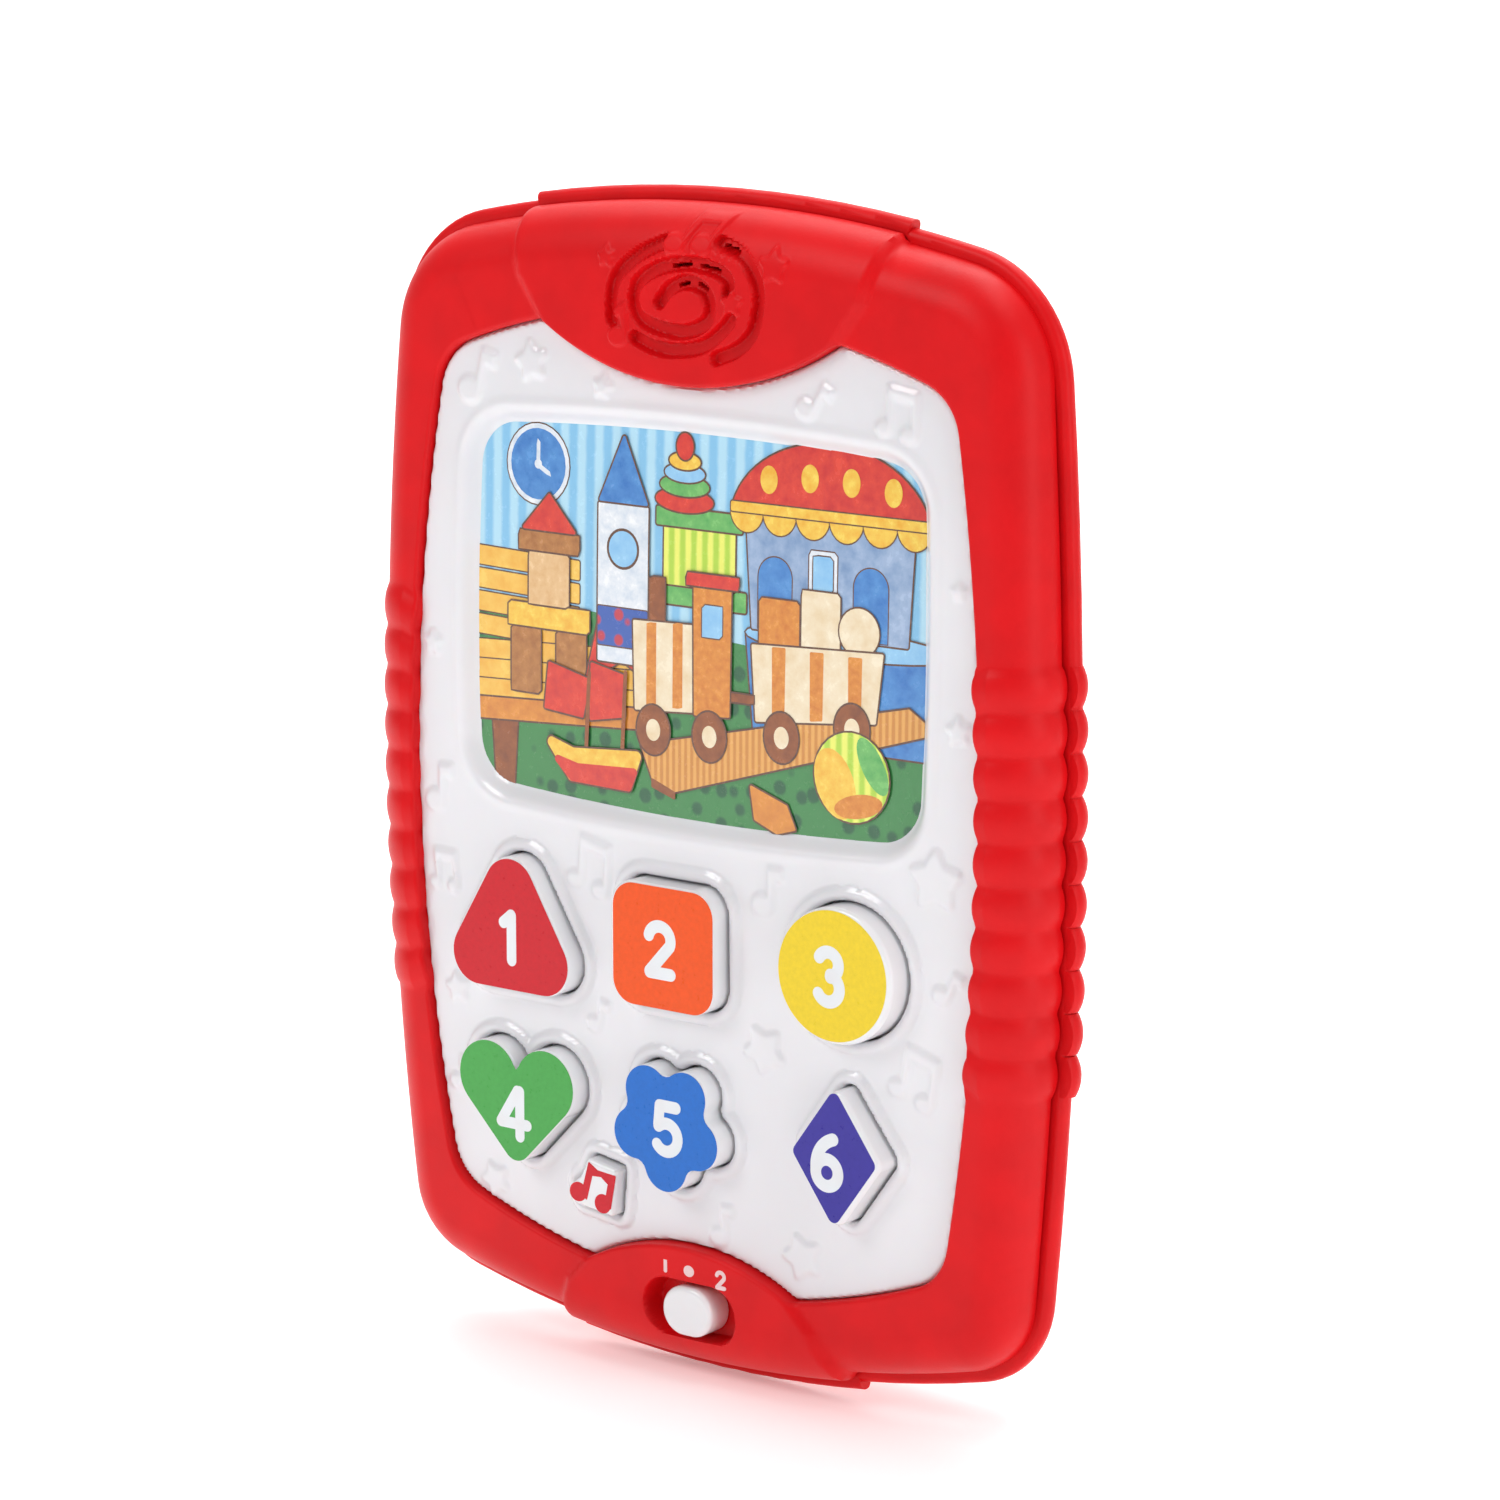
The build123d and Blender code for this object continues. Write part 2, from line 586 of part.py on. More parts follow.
def switch_body():
    """Slide switch on the front of the board."""
    outline = Pos(*SWITCH) * Rectangle(13.0, 6.0)
    case = slab(outline, BOARD_FRONT - 3.6, BOARD_FRONT - 0.02)
    slot = Pos(*SWITCH) * Rectangle(2 * KNOB_TRAVEL + LEVER[0] + 0.6, LEVER[1] + 0.6)
    return case - slab(slot, 0, BOARD_FRONT - 1.6)


def switch_lever():
    return slab(Pos(*SWITCH) * Rectangle(*LEVER), RECESS_FLOOR - 1.2, BOARD_FRONT - 2.2)


def switch_knob():
    body = slab(Pos(*SWITCH) * SlotOverall(*KNOB), KNOB_FRONT, RECESS_FLOOR - 0.2)
    body = fillet(body.faces().sort_by(Axis.Y)[0].edges(), 0.8)
    return body - slab(Pos(*SWITCH) * Rectangle(LEVER[0] + 0.04, LEVER[1] + 0.04),
                       RECESS_FLOOR - 1.22, BACK_DEPTH)


# ================================================================== speaker
def speaker_frame():
    x, z = SPEAKER_X, SPEAKER_HEIGHT
    frame = disc(x, z, SPEAKER_R, SPEAKER_FRONT, SPEAKER_FRONT + 1.2)
    frame += disc(x, z, SPEAKER_R - 2.5, SPEAKER_FRONT + 1.2, SPEAKER_FRONT + 3.2)
    frame -= disc(x, z, SPEAKER_R - 1.2, 0, SPEAKER_FRONT + 0.6)
    return frame - disc(x, z, SPEAKER_R - 3.6, 0, SPEAKER_FRONT + 2.6)


def speaker_cone():
    """Shallow paper cone with a dust cap, held by its rim in the frame's step."""
    x, z = SPEAKER_X, SPEAKER_HEIGHT
    rim = SPEAKER_R - 1.3
    outer = make_face(Polyline((0, 0.2), (3.4, 0.9), (rim - 2.4, 0.1), (rim, 0.1), (rim, 0.5),
                               (rim - 2.6, 0.5), (3.4, 1.6), (0, 0.9), close=True))
    turned = revolve(Plane.XY * outer, Axis.Y, 360)
    return Pos(x, FACE_Y + SPEAKER_FRONT, z) * turned


def speaker_magnet():
    x, z = SPEAKER_X, SPEAKER_HEIGHT
    can = disc(x, z, 7.0, SPEAKER_FRONT + 3.22, SPEAKER_FRONT + 6.2)
    return fillet(can.faces().sort_by(Axis.Y)[-1].edges(), 0.5)


# ================================================================== fasteners
def screw(x, z, head_front, length, shank_r=SHANK_R, head_thick=HEAD_THICK):
    """Cross-head screw driven from the back: the head's front face sits at head_front."""
    head = disc(x, z, HEAD_R, head_front, head_front + head_thick)
    head = fillet(head.faces().sort_by(Axis.Y)[-1].edges(), 0.3 * head_thick)
    for size in ((0.6, 2.6), (2.6, 0.6)):
        head -= slab(Pos(x, z) * Rectangle(*size), head_front + 0.45 * head_thick, head_front + 2 * head_thick)
    return head + disc(x, z, shank_r, head_front - length, head_front)


def case_screws():
    return Compound([screw(x, z, CASE_HEAD_DEPTH, 8.6) for x, z in CASE_SCREWS])


def board_screws():
    back = BOARD_FRONT + BOARD_THICK
    return Compound([screw(x, z, back + 0.02, 6.0) for x, z in BOARD_SCREWS])


def speaker_screws():
    places = [(SPEAKER_X + side * (SPEAKER_R + POST_OFFSET), SPEAKER_HEIGHT) for side in (-1, 1)]
    return Compound([screw(x, z, SPEAKER_FRONT + 1.22, 2.4, 0.85) for x, z in places])


# ================================================================== back shell and battery door
def tray(outline, front, back, front_r, back_r):
    block = slab(outline, front, back)
    block = fillet(block.faces().sort_by(Axis.Y)[0].edges(), front_r)
    return fillet(block.faces().sort_by(Axis.Y)[-1].edges(), back_r)


def door_outline(grow=0.0):
    """Battery door seen from the back: a rectangle with a round screw ear at its top."""
    half_w = BAY_HALF_W + DOOR_MARGIN + grow
    half_h = BAY_HALF_H + DOOR_MARGIN + grow
    ear = Pos(0, BAY_HEIGHT + half_h) * Circle(DOOR_EAR_R + grow)
    return Pos(0, BAY_HEIGHT) * Rectangle(2 * half_w, 2 * half_h) + ear


def ear_screw_height():
    return BAY_HEIGHT + BAY_HALF_H + DOOR_MARGIN + 1.6


def pan(inset, shift):
    """Body behind the lip, which narrows in a curve towards its flat back."""
    sections = []
    for depth, section_inset in PAN_SECTIONS:
        plane = Plane.XZ.offset(-(FACE_Y + depth + shift))
        sections.append(plane * lip_outline(-section_inset - inset))
    return loft(sections)


def lip():
    """Rounded lip around the case, wider at the lobes and scalloped at the grips."""
    rim = tray(lip_outline(), PARTING_BACK, LIP_BACK, LIP_ROUND, LIP_ROUND)
    lobes = tray(lip_outline(LOBE_STEP), PARTING_BACK, LIP_BACK, LIP_ROUND, LIP_ROUND)
    for region in (top_lobe_region(), bottom_lobe_region()):
        rim += lobes & slab(region, 0, BACK_DEPTH)
    radius = (LIP_BACK - PARTING_BACK) / 2
    for height in rib_heights():
        for side in (-1, 1):
            x = side * (side_at(height, LIP_SIDE, LIP_SIDE_R) - radius)
            rib = barrel(x, height, PARTING_BACK + radius, radius)
            rim += rib & slab(Pos(x, height) * Rectangle(8, 8), PARTING_BACK + 0.02, LIP_BACK - 0.02)
    return rim


def back_shell():
    body = pan(0, 0)
    inner = FRONT_INSET + WALL + 0.15
    shell = lip() + body
    shell -= slab(lip_outline(-inner - TONGUE_THICK), 0, LIP_BACK)
    shell -= pan(WALL, -BACK_WALL)
    tongue = slab(lip_outline(-inner), PARTING_FRONT - 1.6, PARTING_BACK + 1)
    tongue -= slab(lip_outline(-inner - TONGUE_THICK), 0, BACK_DEPTH)
    for x, z in CASE_SCREWS:
        tongue -= disc(x, z, CASE_BOSS_R + 0.3, 0, PARTING_FRONT + 0.1)
    shell += tongue
    for x, z in CASE_SCREWS:
        shell += disc(x, z, HEAD_R + 2.0, PARTING_BACK + 3.5, BACK_DEPTH) & body
        shell += disc(x, z, CASE_BOSS_R, PARTING_FRONT + 0.1, PARTING_BACK + 5)
    shell -= screw_wells()
    return battery_bay(shell)


def screw_wells():
    wells = None
    for x, z in CASE_SCREWS:
        well = disc(x, z, HEAD_R + 0.5, CASE_HEAD_DEPTH - 0.02, BACK_DEPTH + 1)
        well += disc(x, z, SHANK_R + 0.3, 0, BACK_DEPTH)
        wells = well if wells is None else wells + well
    return wells


def battery_bay(shell):
    """Walled bay for the cells with a stepped seat for the door and notches for its tabs."""
    inner = Pos(0, BAY_HEIGHT) * Rectangle(2 * BAY_HALF_W, 2 * BAY_HALF_H)
    outer = offset(inner, BAY_WALL, kind=Kind.INTERSECTION)
    shell += slab(outer, BAY_CEILING - BAY_WALL, BACK_DEPTH - 1)
    boss_z = ear_screw_height()
    shell += disc(0, boss_z, 3.6, 14.0, BACK_DEPTH - 1)
    shell -= slab(inner, BAY_CEILING, BACK_DEPTH + 1)
    shell -= slab(door_outline(DOOR_GAP), DOOR_FRONT, BACK_DEPTH + 1)
    shell -= disc(0, boss_z, SHANK_R + 0.7, 15.0, BACK_DEPTH + 1)
    for x in DOOR_TABS:
        notch = Box(TAB[0] + 1.0, 7.4, 9.0)
        shell -= Pos(x, FACE_Y + DOOR_FRONT - 3.7, hinge_height() - 0.6) * notch
    return shell


def hinge_height():
    return BAY_HEIGHT - BAY_HALF_H - DOOR_MARGIN + DOOR_ROUND


def battery_door():
    door = slab(door_outline(), DOOR_FRONT + 0.02, BACK_DEPTH)
    door -= disc(0, ear_screw_height(), SHANK_R + 0.05, 0, BACK_DEPTH + 1)
    door -= disc(0, ear_screw_height(), HEAD_R + 0.1, BACK_DEPTH - DOOR_HEAD - 0.12, BACK_DEPTH + 1)
    low = BAY_HEIGHT - BAY_HALF_H - DOOR_MARGIN
    door = fillet(door.edges().filter_by(Axis.X).group_by(Axis.Z)[0], DOOR_ROUND)
    for x in DOOR_TABS:
        root = Pos(x, FACE_Y + DOOR_FRONT - TAB[2] / 2, low + 2.0) * Box(TAB[0], TAB[2] + 0.1, 2.4)
        tongue = Pos(x, FACE_Y + DOOR_FRONT - 0.35 - TAB[2] / 2, low - 0.4) * Box(TAB[0], TAB[2], 4.0)
        door += root + tongue
    return door


def door_screw():
    return screw(0, ear_screw_height(), BACK_DEPTH - DOOR_HEAD - 0.1, 6.0, head_thick=DOOR_HEAD)


# ================================================================== cells and contacts
def cell_heights():
    return [BAY_HEIGHT + CELL_PITCH * (k - 1) for k in range(CELL_COUNT)]


def battery(k):
    """AAA cell lying across the bay, its nub to alternate sides."""
    side = 1 if k % 2 == 0 else -1
    body = Cylinder(CELL_R, CELL_LENGTH - CELL_NUB)
    body = fillet(body.edges(), 0.6)
    nub = Pos(0, 0, CELL_LENGTH / 2) * Cylinder(CELL_NUB_R, CELL_NUB)
    place = Pos(0, FACE_Y + CELL_DEPTH, cell_heights()[k]) * Rot(0, side * 90, 0)
    return place * (body + nub)


def battery_plate(k):
    """Flat contact that touches the nub."""
    side = 1 if k % 2 == 0 else -1
    plate = Pos(side * (BAY_HALF_W - 0.3), FACE_Y + CELL_DEPTH, cell_heights()[k]) * Box(CONTACT_THICK, 8, 8)
    reach = BAY_HALF_W - 0.5 - CELL_LENGTH / 2 - CELL_NUB / 2 - 0.1
    bump = Pos(side * (BAY_HALF_W - 0.5 - reach / 2), FACE_Y + CELL_DEPTH, cell_heights()[k])
    return plate + bump * Rot(0, 90, 0) * Cylinder(1.6, reach)


def battery_spring(k):
    """Coil contact that presses on the flat end of the cell."""
    side = -1 if k % 2 == 0 else 1
    wall = BAY_HALF_W - 0.3
    reach = wall - CELL_LENGTH / 2 - 0.5
    coil = Helix(pitch=reach / 3.2, height=reach - 0.6, radius=3.2)
    wire = sweep(Plane(origin=coil @ 0, z_dir=coil % 0) * Circle(0.32), path=coil)
    plate = Box(8, 8, CONTACT_THICK)
    stack = Pos(0, 0, CONTACT_THICK / 2 + 0.15) * wire + plate
    place = Pos(side * wall, FACE_Y + CELL_DEPTH, cell_heights()[k]) * Rot(0, -side * 90, 0)
    return place * stack


# ================================================================== build and write
def build_all():
    nodes = {"front_shell": front_shell(), "faceplate": faceplate(), "picture_card": picture_card()}
    for name, (shape, x, z, stand) in BUTTONS.items():
        nodes["button_" + name] = button(shape, x, z, stand)
    for make in (keypad_membrane, circuit_board, sound_chip, capacitor, switch_body, switch_lever,
                 switch_knob, speaker_frame, speaker_cone, speaker_magnet, speaker_screws,
                 back_shell, battery_door, door_screw, case_screws, board_screws):
        nodes[make.__name__] = make()
    for k in range(CELL_COUNT):
        nodes[f"battery_{k + 1}"] = battery(k)
        nodes[f"battery_plate_{k + 1}"] = battery_plate(k)
        nodes[f"battery_spring_{k + 1}"] = battery_spring(k)
    return nodes


os.makedirs("parts", exist_ok=True)
for node, shape in build_all().items():
    export_step(shape, f"parts/{node}.step")
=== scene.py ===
import json
import math

import bmesh
import bpy
import numpy as np
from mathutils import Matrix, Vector


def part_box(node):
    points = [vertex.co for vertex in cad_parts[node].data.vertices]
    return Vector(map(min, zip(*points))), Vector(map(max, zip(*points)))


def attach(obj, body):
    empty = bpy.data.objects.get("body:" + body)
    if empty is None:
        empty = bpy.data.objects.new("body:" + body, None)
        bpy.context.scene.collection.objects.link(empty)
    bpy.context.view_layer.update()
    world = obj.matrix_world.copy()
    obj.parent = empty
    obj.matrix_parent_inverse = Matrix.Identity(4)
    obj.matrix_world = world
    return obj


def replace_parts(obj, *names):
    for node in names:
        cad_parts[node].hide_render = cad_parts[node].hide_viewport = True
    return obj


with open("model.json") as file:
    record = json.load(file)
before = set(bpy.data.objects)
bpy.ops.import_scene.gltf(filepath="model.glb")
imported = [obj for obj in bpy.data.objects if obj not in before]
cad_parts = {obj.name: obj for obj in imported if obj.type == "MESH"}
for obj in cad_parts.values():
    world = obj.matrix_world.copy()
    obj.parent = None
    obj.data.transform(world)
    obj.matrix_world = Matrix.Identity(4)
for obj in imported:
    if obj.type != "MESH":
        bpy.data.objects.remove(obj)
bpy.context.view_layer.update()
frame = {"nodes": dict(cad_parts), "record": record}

# All lengths below are millimetres in the part frame: X right, Y back, Z up.  A "depth" is measured
# backwards from the foremost point of the white faceplate, like in the CAD source.
MM = 0.001

# ------------------------------------------------------------------ depths and outlines of the case
FACE_Y = -10.1
DOME_R = 1600.0
DOME_HEIGHT = 85.0
FRAME_PROUD = 1.2
LOBE_PROUD = 2.2
LOBE_STEP = 1.2
FRONT_INSET = 2.0
FRAME_EDGE_R = 6.8
PARTING_FRONT = 7.6
FRAME_WALL = 2.2
LIP_TOP = 172.4
LIP_BOTTOM = 1.2
LIP_SIDE = (61.6, 86.0)
LIP_TOP_CORNER = (58.3, 164.4)
LIP_BOTTOM_CORNER = (57.1, 10.0)
CORNER_SHIFT = (0.93, 0.77)
TOP_CORNER_R = 19.0
BOTTOM_CORNER_R = 15.0
TOP_CUSP = (26.2, 154.0)
TOP_EDGE = (36.0, 151.4)
OPEN_TOP_CORNER = (45.8, 147.8)
OPEN_SIDE = (51.2, 86.0)
OPEN_BOTTOM_CORNER = (44.8, 23.6)
BOTTOM_EDGE = (32.0, 18.8)
BOTTOM_CUSP = (18.6, 15.5)
TOP_LOBE_LOW = (0.0, 146.2)
BOTTOM_LOBE_HIGH = (0.0, 20.6)
OPEN_CORNER_R = 9.0
TOP_FLARE = ((30.6, 160.0), (32.2, 166.0), (33.4, 171.0), (36.0, 180.0))
BOTTOM_FLARE = ((22.4, 11.6), (24.6, 7.4), (25.6, 2.4), (28.0, -5.0))
RIB_TOP = 112.0
RIB_PITCH = 6.1
RIB_COUNT = 10
RIB_EDGE = 0.15
RIB_BULGE = 0.9
RIB_BITE = 0.6
RIB_MIN_X = 40.0

# ------------------------------------------------------------------ window, buttons, switch, speaker
WINDOW_CENTRE = 111.5
WINDOW_HALF_W = 40.2
WINDOW_HALF_H = 27.8
WINDOW_BOW = 1.6
WINDOW_CORNER_R = 7.0
CARD_DEPTH = 1.8
WINDOW_RIM = 2.4
COLUMNS = (-30.2, -1.7, 29.2)
UPPER_ROW = 65.6
LOWER_ROW = 38.8
NOTE_CENTRE = (-16.0, 27.0)
COLLAR_WIDTH = 1.9
COLLAR_HEIGHT = 0.7
RELIEF_HEIGHT = 0.42
SWIRL_RELIEF = 0.4
SWITCH = (0.8, 11.1)
RECESS = (16.4, 8.4)
RECESS_FLOOR = 3.4


# ================================================================== plane geometry
def sag(x, z):
    """How far the big dome that carries the front has fallen back at a front-view point."""
    return (x**2 + (z - DOME_HEIGHT) ** 2) / (2 * DOME_R)


def smooth(value):
    """Soft step from 0 to 1 while value goes from 0 to 1."""
    t = np.clip(value, 0.0, 1.0)
    return t * t * (3 - 2 * t)


def mirror(point):
    """Point on the other side of the middle."""
    return (-point[0], point[1])


def arc(a, b, c, count=120):
    """Points along the circle through a, b and c, from a to c."""
    a, b, c = (np.array(p, float) for p in (a, b, c))
    u, v = b - a, c - a
    cross = u[0] * v[1] - u[1] * v[0]
    centre = a + np.array([v[1] * (u @ u) - u[1] * (v @ v), u[0] * (v @ v) - v[0] * (u @ u)]) / (2 * cross)
    angles = [math.atan2(*(p - centre)[::-1]) for p in (a, b, c)]
    turn = (angles[2] - angles[0]) % math.tau
    if (angles[1] - angles[0]) % math.tau > turn:
        turn -= math.tau
    sweep = angles[0] + turn * np.linspace(0, 1, count)
    radius = np.linalg.norm(a - centre)
    return centre + radius * np.stack([np.cos(sweep), np.sin(sweep)], 1)


def round_arc(centre, radius, start, stop, count=24, squash=1.0):
    """Arc about a centre between two angles in degrees."""
    sweep = np.radians(np.linspace(start, stop, count))
    return np.stack([centre[0] + radius * np.cos(sweep), centre[1] + squash * radius * np.sin(sweep)], 1)


def corner_curve(before, corner, after, count=16):
    """Nearly circular curve that rounds a corner."""
    u, v = corner - before, after - corner
    turn = math.acos(np.clip(u @ v / np.linalg.norm(u) / np.linalg.norm(v), -1, 1))
    pull = 4 / 3 * math.tan(turn / 4) / math.tan(turn / 2)
    p1, p2 = before + pull * u, after - pull * v
    t = np.linspace(0, 1, count)[:, None]
    return (1 - t) ** 3 * before + 3 * (1 - t) ** 2 * t * p1 + 3 * (1 - t) * t**2 * p2 + t**3 * after


def rounded(sides, radii):
    """Closed outline from curves laid end to end; the end of curve k is rounded by radii[k]."""
    curves = [np.array(side, float) for side in sides]
    joints = []
    for k, radius in enumerate(radii):
        following = (k + 1) % len(curves)
        corner = curves[k][-1].copy()
        if radius:
            u = corner - curves[k][-2]
            v = curves[following][1] - corner
            turn = math.acos(np.clip(u @ v / np.linalg.norm(u) / np.linalg.norm(v), -1, 1))
            reach = radius * math.tan(turn / 2)
            curves[k] = cut_back(curves[k], reach)
            curves[following] = cut_back(curves[following][::-1], reach)[::-1]
        joints.append((corner, radius))
    outline = []
    for k, (corner, radius) in enumerate(joints):
        outline.append(curves[k])
        if radius:
            outline.append(corner_curve(curves[k][-1], corner, curves[(k + 1) % len(curves)][0])[1:-1])
    return tidy_loop(np.concatenate(outline))


def cut_back(curve, reach):
    """Curve without its last stretch of the given length."""
    steps = np.linalg.norm(np.diff(curve, axis=0), axis=1)
    left = np.concatenate([np.cumsum(steps[::-1])[::-1], [0]])
    stop = np.searchsorted(-left, -reach)
    part = (left[stop - 1] - reach) / max(left[stop - 1] - left[stop], 1e-9)
    end = curve[stop - 1] + part * (curve[stop] - curve[stop - 1])
    return np.concatenate([curve[:stop], [end]])


def tidy_loop(points):
    """Closed loop without doubled points."""
    gap = np.linalg.norm(points - np.roll(points, 1, axis=0), axis=1)
    return points[gap > 1e-4]


def polygon(*corners, radius=0.0):
    """Closed outline with straight sides and rounded corners."""
    corners = [np.array(c, float) for c in corners]
    sides = [np.array([a, a + 0.5 * (b - a), b]) for a, b in zip(corners, corners[1:] + corners[:1])]
    return rounded(sides, [radius] * len(sides))


def evenly(loop, step):
    """Closed loop with points at even distances."""
    closed = np.concatenate([loop, loop[:1]])
    along = np.concatenate([[0], np.cumsum(np.linalg.norm(np.diff(closed, axis=0), axis=1))])
    count = round(along[-1] / step)
    at = np.arange(count) * along[-1] / count
    return np.stack([np.interp(at, along, closed[:, k]) for k in (0, 1)], 1)


def outward(loop):
    """Unit normals that point out of a closed loop."""
    tangent = np.roll(loop, -1, axis=0) - np.roll(loop, 1, axis=0)
    normal = np.stack([tangent[:, 1], -tangent[:, 0]], 1)
    normal /= np.linalg.norm(normal, axis=1)[:, None]
    area = np.sum(loop[:, 0] * np.roll(loop[:, 1], -1) - loop[:, 1] * np.roll(loop[:, 0], -1))
    return normal if area > 0 else -normal


def grown(loop, distance):
    """Closed loop pushed outwards, or inwards below zero."""
    return loop + outward(loop) * distance


def distance_to(x, z, loop, reach=1e9, closed=True):
    """Distance of points from a line and the nearest points on it; below zero inside a closed loop."""
    far = np.full(x.shape, 1e3)
    near_x, near_z = x.copy(), z.copy()
    low, high = loop.min(0) - reach, loop.max(0) + reach
    here = (x > low[0]) & (x < high[0]) & (z > low[1]) & (z < high[1])
    px, pz = x[here], z[here]
    best = np.full(px.shape, 1e6)
    best_x, best_z = px.copy(), pz.copy()
    inside = np.zeros(px.shape, bool)
    ends = np.roll(loop, -1, axis=0) if closed else loop[1:]
    for (ax, az), (bx, bz) in zip(loop, ends):
        dx, dz = bx - ax, bz - az
        t = np.clip(((px - ax) * dx + (pz - az) * dz) / (dx * dx + dz * dz), 0, 1)
        qx, qz = ax + t * dx, az + t * dz
        gap = (px - qx) ** 2 + (pz - qz) ** 2
        closer = gap < best
        best = np.where(closer, gap, best)
        best_x = np.where(closer, qx, best_x)
        best_z = np.where(closer, qz, best_z)
        inside ^= ((az > pz) != (bz > pz)) & (px < ax + (pz - az) * dx / (dz if dz else 1e-9))
    gap = np.sqrt(best)
    far[here] = np.where(inside, -gap, gap) if closed else gap
    near_x[here], near_z[here] = best_x, best_z
    return far, near_x, near_z


# ================================================================== outlines of the object
def lip_outline(grow):
    """Outline of the case's lip, made larger by grow."""
    shift_x, shift_z = CORNER_SHIFT[0] * grow, CORNER_SHIFT[1] * grow
    high = (LIP_TOP_CORNER[0] + shift_x, LIP_TOP_CORNER[1] + shift_z)
    low = (LIP_BOTTOM_CORNER[0] + shift_x, LIP_BOTTOM_CORNER[1] - shift_z)
    side = (LIP_SIDE[0] + grow, LIP_SIDE[1])
    sides = [arc(mirror(high), (0, LIP_TOP + grow), high), arc(high, side, low),
             arc(low, (0, LIP_BOTTOM - grow), mirror(low)), arc(mirror(low), mirror(side), mirror(high))]
    top_r, low_r = TOP_CORNER_R + grow, BOTTOM_CORNER_R + grow
    return rounded(sides, [top_r, low_r, low_r, top_r])


def opening_outline():
    """Edge of the red frame round the white faceplate, with a cusp beside each lobe."""
    sides = [
        arc(mirror(TOP_CUSP), TOP_LOBE_LOW, TOP_CUSP),
        arc(TOP_CUSP, TOP_EDGE, OPEN_TOP_CORNER),
        arc(OPEN_TOP_CORNER, OPEN_SIDE, OPEN_BOTTOM_CORNER),
        arc(OPEN_BOTTOM_CORNER, BOTTOM_EDGE, BOTTOM_CUSP),
        arc(BOTTOM_CUSP, BOTTOM_LOBE_HIGH, mirror(BOTTOM_CUSP)),
        arc(mirror(BOTTOM_CUSP), mirror(BOTTOM_EDGE), mirror(OPEN_BOTTOM_CORNER)),
        arc(mirror(OPEN_BOTTOM_CORNER), mirror(OPEN_SIDE), mirror(OPEN_TOP_CORNER)),
        arc(mirror(OPEN_TOP_CORNER), mirror(TOP_EDGE), mirror(TOP_CUSP)),
    ]
    cusp, corner = 1.2, OPEN_CORNER_R
    return rounded(sides, [cusp, corner, corner, cusp, cusp, corner, corner, cusp])


def lobe_loops():
    """Front-view areas of the raised top and bottom lobes."""
    loops = []
    for cusp, flare, tuck in ((TOP_CUSP, TOP_FLARE, -12), (BOTTOM_CUSP, BOTTOM_FLARE, 12)):
        side = [(cusp[0] - 3.2, cusp[1] + tuck), cusp, *flare]
        loops.append(np.array(side + [mirror(p) for p in side[::-1]], float))
    return loops


def window_outline(grow=0.0):
    """Bulging outline of the picture window."""
    w, h = WINDOW_HALF_W + grow, WINDOW_HALF_H + grow
    up, down = (w - 0.7, h - WINDOW_BOW), (w - 0.7, WINDOW_BOW - h)
    sides = [arc(mirror(up), (0, h), up), arc(up, (w, 0), down), arc(down, (0, -h), mirror(down)),
             arc(mirror(down), (-w, 0), mirror(up))]
    return rounded(sides, [WINDOW_CORNER_R + grow] * 4) + [0, WINDOW_CENTRE]


def heart():
    """Two round lobes and a round tip."""
    lobe = round_arc((5.4, 3.0), 5.8, -44, 158.6)
    tip = round_arc((0, -6.5), 3.0, -136, -44)
    return tidy_loop(np.concatenate([lobe, (lobe * [-1, 1])[::-1], tip]))


def flower():
    """Five round petals joined by small round notches."""
    petal_reach, petal_r, petal_half = 5.9, 4.2, 73.5
    notch_reach, notch_r, notch_half = 9.3, 1.5, 37.5
    pieces = []
    for turn in range(270, 630, 72):
        petal, notch = math.radians(turn), math.radians(turn + 36)
        middle = (petal_reach * math.cos(petal), petal_reach * math.sin(petal))
        pieces.append(round_arc(middle, petal_r, turn - petal_half, turn + petal_half))
        middle = (notch_reach * math.cos(notch), notch_reach * math.sin(notch))
        facing = turn + 36 + 180
        pieces.append(round_arc(middle, notch_r, facing + notch_half, facing - notch_half, 9))
    return tidy_loop(np.concatenate(pieces))


BUTTONS = {
    "triangle": (polygon((0, 15.2), (15.4, -10.4), (-15.4, -10.4), radius=5.2), COLUMNS[0], UPPER_ROW - 0.6),
    "square": (polygon((-9.6, 9.5), (9.6, 9.5), (9.6, -9.5), (-9.6, -9.5), radius=4.2),
               COLUMNS[1], UPPER_ROW),
    "circle": (round_arc((0, 0), 10.2, 0, 355, 72), COLUMNS[2], UPPER_ROW + 0.4),
    "heart": (heart(), COLUMNS[0] + 0.6, LOWER_ROW - 0.6),
    "flower": (flower(), COLUMNS[1] + 0.4, LOWER_ROW + 0.3),
    "diamond": (polygon((0, 11.4), (8.3, 0), (0, -11.4), (-8.3, 0), radius=1.8),
                COLUMNS[2], LOWER_ROW + 0.7),
    "note": (polygon((-1.6, 4.6), (4.5, 3.6), (3.5, -4.4), (-4.4, -3.4), (-5.1, -0.2), (-3.2, 1.4),
                     radius=0.9), *NOTE_CENTRE),
}


# ================================================================== small raised signs
def turned(loop, degrees):
    """Loop turned anticlockwise about its origin."""
    c, s = math.cos(math.radians(degrees)), math.sin(math.radians(degrees))
    return loop @ np.array([[c, s], [-s, c]])


def ellipse(x, z, half_w, half_h, tilt=0.0, count=28):
    """Ellipse about a point."""
    angles = np.linspace(0, math.tau, count, endpoint=False)
    loop = np.stack([half_w * np.cos(angles), half_h * np.sin(angles)], 1)
    return turned(loop, tilt) + [x, z]


